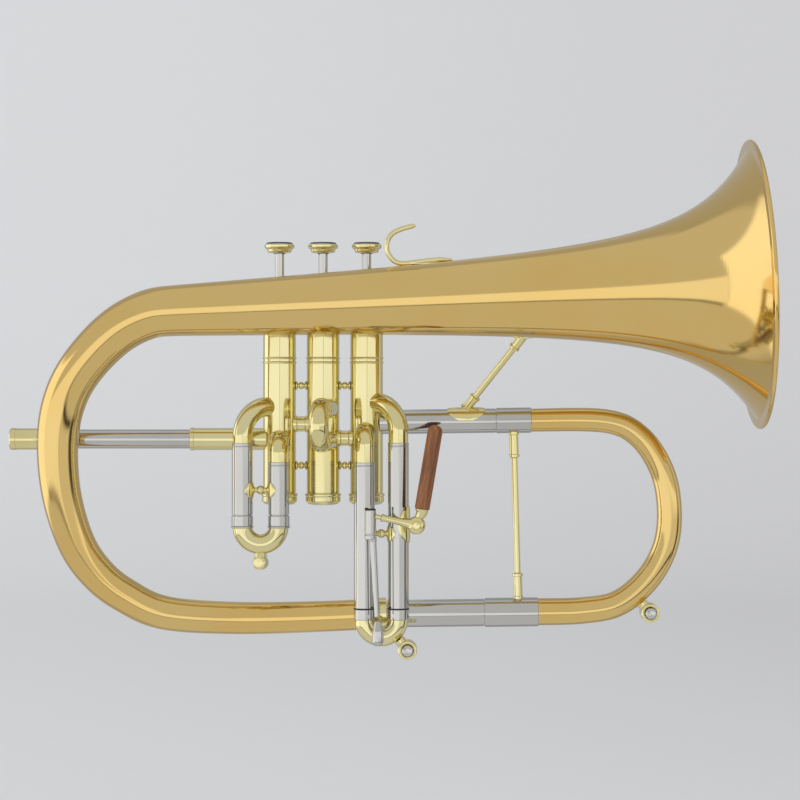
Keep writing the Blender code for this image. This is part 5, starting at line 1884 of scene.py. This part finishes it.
@dataclass(frozen=True)
class Panel:
    """A soft patch of the surroundings, brighter or darker than the rest.

    Attributes:
        azimuth: Its middle, in degrees from the camera's side towards the right.
        elevation: Its middle, in degrees above the horizon.
        width: Half its width in degrees.
        height: Half its height in degrees.
        gain: The light that it adds, or takes away if negative.
        edge: How soft its border is, in degrees.
    """

    azimuth: float
    elevation: float
    width: float
    height: float
    gain: float
    edge: float = 6.0


@dataclass(frozen=True)
class Lamp:
    """A soft area light that points at the instrument.

    Attributes:
        place: Where it stands.
        size: Its width and height.
        power: Its power in watts.
    """

    place: tuple[float, float, float]
    size: tuple[float, float]
    power: float


@dataclass
class Studio:
    """A pale floor and wall, pale surroundings with soft panels, and the camera."""

    floor_z: float = -0.30
    wall_r: float = 2.4
    wall_top: float = 3.6
    floor_glow: float = 0.2
    base: float = 0.66
    darkest: float = 0.02
    panels: tuple[Panel, ...] = (
        Panel(0, -6.5, 68, 10.5, 0.42, 2.5),
        Panel(0, -20.5, 66, 1.0, -0.3, 1.2),
        Panel(50, -12, 36, 8, -0.34, 6),
        Panel(4, 2.5, 2, 3, -0.4, 1.5),
        Panel(-98, 2, 26, 20, 0.6, 4),
        Panel(82, 0, 5, 60, -0.25, 4),
        Panel(150, 0, 30, 60, -0.25, 10),
        Panel(-150, 0, 25, 60, -0.2, 10),
    )
    lamps: tuple[Lamp, ...] = (
        Lamp((-1.1, -0.9, 1.3), (0.9, 0.9), 8),
        Lamp((0.9, -1.2, 0.9), (0.7, 0.9), 4),
    )
    camera_place: tuple[float, float, float] = (0.0424, -1.328, 0.011)
    lens: float = 108.4
    sensor: float = 36.0

    def floor(self) -> None:
        """Lays the floor, which curves up into a round wall. Only the camera sees it."""
        profile = [(self.wall_r * i / 8, self.floor_z) for i in range(1, 9)]
        turn = self.wall_r * 0.5
        for i in range(1, 19):
            angle = math.pi / 2 * i / 18
            out, up = turn * math.sin(angle), turn * (1 - math.cos(angle))
            profile.append((self.wall_r + out, self.floor_z + up))
        profile.append((self.wall_r + turn, self.wall_top))
        turns = [2 * math.pi * i / 96 for i in range(96)]
        rings = [[Vector((0, 0, self.floor_z))]]
        for radius, height in profile:
            across = [(radius * math.cos(turn), radius * math.sin(turn)) for turn in turns]
            rings.append([Vector((x, y, height)) for x, y in across])
        floor = lofted("studio_floor", rings)
        floor.visible_glossy = False
        floor.visible_diffuse = False
        floor.visible_shadow = False
        material, graph = new_graph("studio_floor")
        place = graph.make("ShaderNodeSeparateXYZ", {}, {"Vector": graph.place()}, 0)
        grain = graph.noise(graph.place(), 30, 3)
        # Painted light: the floor and wall are paler towards -X and darker towards +X, standing in
        # for the brighter light from the left; the faint glow keeps the whole backdrop pale.
        share = place.band(-1.2, 1.2) * 0.9 + grain * 0.1
        shade = graph.blend(share, (0.74, 0.755, 0.775), (0.62, 0.62, 0.63))
        glow = {"Emission Color": shade, "Emission Strength": self.floor_glow}
        graph.surface({"Base Color": shade, "Roughness": 0.9, **glow})
        floor.data.materials.append(material)

    def surroundings(self) -> None:
        """Paints the surroundings that the metal shows: an even grey with soft panels."""
        world = bpy.data.worlds.new("studio")
        bpy.context.scene.world = world
        world.use_nodes = True
        graph = ShaderGraph(world.node_tree)
        raw = graph.make("ShaderNodeTexCoord", {}, {}, "Generated")
        kind = "ShaderNodeSeparateXYZ"
        x, y, z = (graph.make(kind, {}, {"Vector": raw}, part) for part in range(3))
        degrees = math.degrees(1)
        azimuth = x.math("ARCTAN2", y * -1.0) * degrees
        elevation = z.math("ARCSINE") * degrees
        light: Any = self.base
        for panel in self.panels:
            wide = abs(azimuth - panel.azimuth).band(panel.width + panel.edge, panel.width)
            high_up = abs(elevation - panel.elevation).band(panel.height + panel.edge, panel.height)
            light = light + wide * high_up * panel.gain
        inputs = {"Color": (1, 1, 1, 1), "Strength": light.math("MAXIMUM", self.darkest)}
        shader = graph.make("ShaderNodeBackground", {}, inputs)
        graph.make("ShaderNodeOutputWorld", {}, {"Surface": shader})

    def light(self) -> None:
        """Hangs the lamps."""
        for number, lamp in enumerate(self.lamps, 1):
            data = bpy.data.lights.new(f"studio_lamp_{number}", "AREA")
            data.shape = "RECTANGLE"
            data.size, data.size_y = lamp.size
            data.energy = lamp.power
            light = bpy.data.objects.new(data.name, data)
            light.location = lamp.place
            light.visible_glossy = False
            light.rotation_euler = (-Vector(lamp.place)).to_track_quat("-Z", "Y").to_euler()
            bpy.context.scene.collection.objects.link(light)

    def camera(self) -> None:
        """Sets up the camera, which looks along +Y."""
        data = bpy.data.cameras.new("studio_camera")
        data.sensor_width, data.lens = self.sensor, self.lens
        camera = bpy.data.objects.new(data.name, data)
        camera.location = self.camera_place
        camera.rotation_euler = (math.pi / 2, 0, 0)
        bpy.context.scene.collection.objects.link(camera)
        bpy.context.scene.camera = camera

    def build(self) -> None:
        """Builds the studio."""
        bpy.context.scene.view_settings.view_transform = "Standard"
        self.floor()
        self.surroundings()
        self.light()
        self.camera()


def main() -> None:
    """Builds the instrument in order, then the studio."""
    logging.basicConfig(level=logging.INFO, format="%(message)s")
    for finish, recipe in RECIPES.items():
        Assembly.materials[finish] = recipe.material(finish.value)
    bell, tuning = Bell(), TuningSlide()
    bell.build()
    FingerHook(bell).build()
    MainBow(bell).build()
    ValveBlock().build()
    FirstSlide(1, "first_slide", ("outer", "inner")).build()
    SecondSlide(2, "second_slide", ("upper", "lower")).build_forward()
    ThirdSlide(3, "third_slide", ("inner", "outer"), Finish.BLACK_RUBBER).build()
    Leadpipe().build()
    tuning.build()
    BellStay(bell, tuning).build()
    Trigger().build()
    Studio().build()


if __name__ == "__main__":
    main()
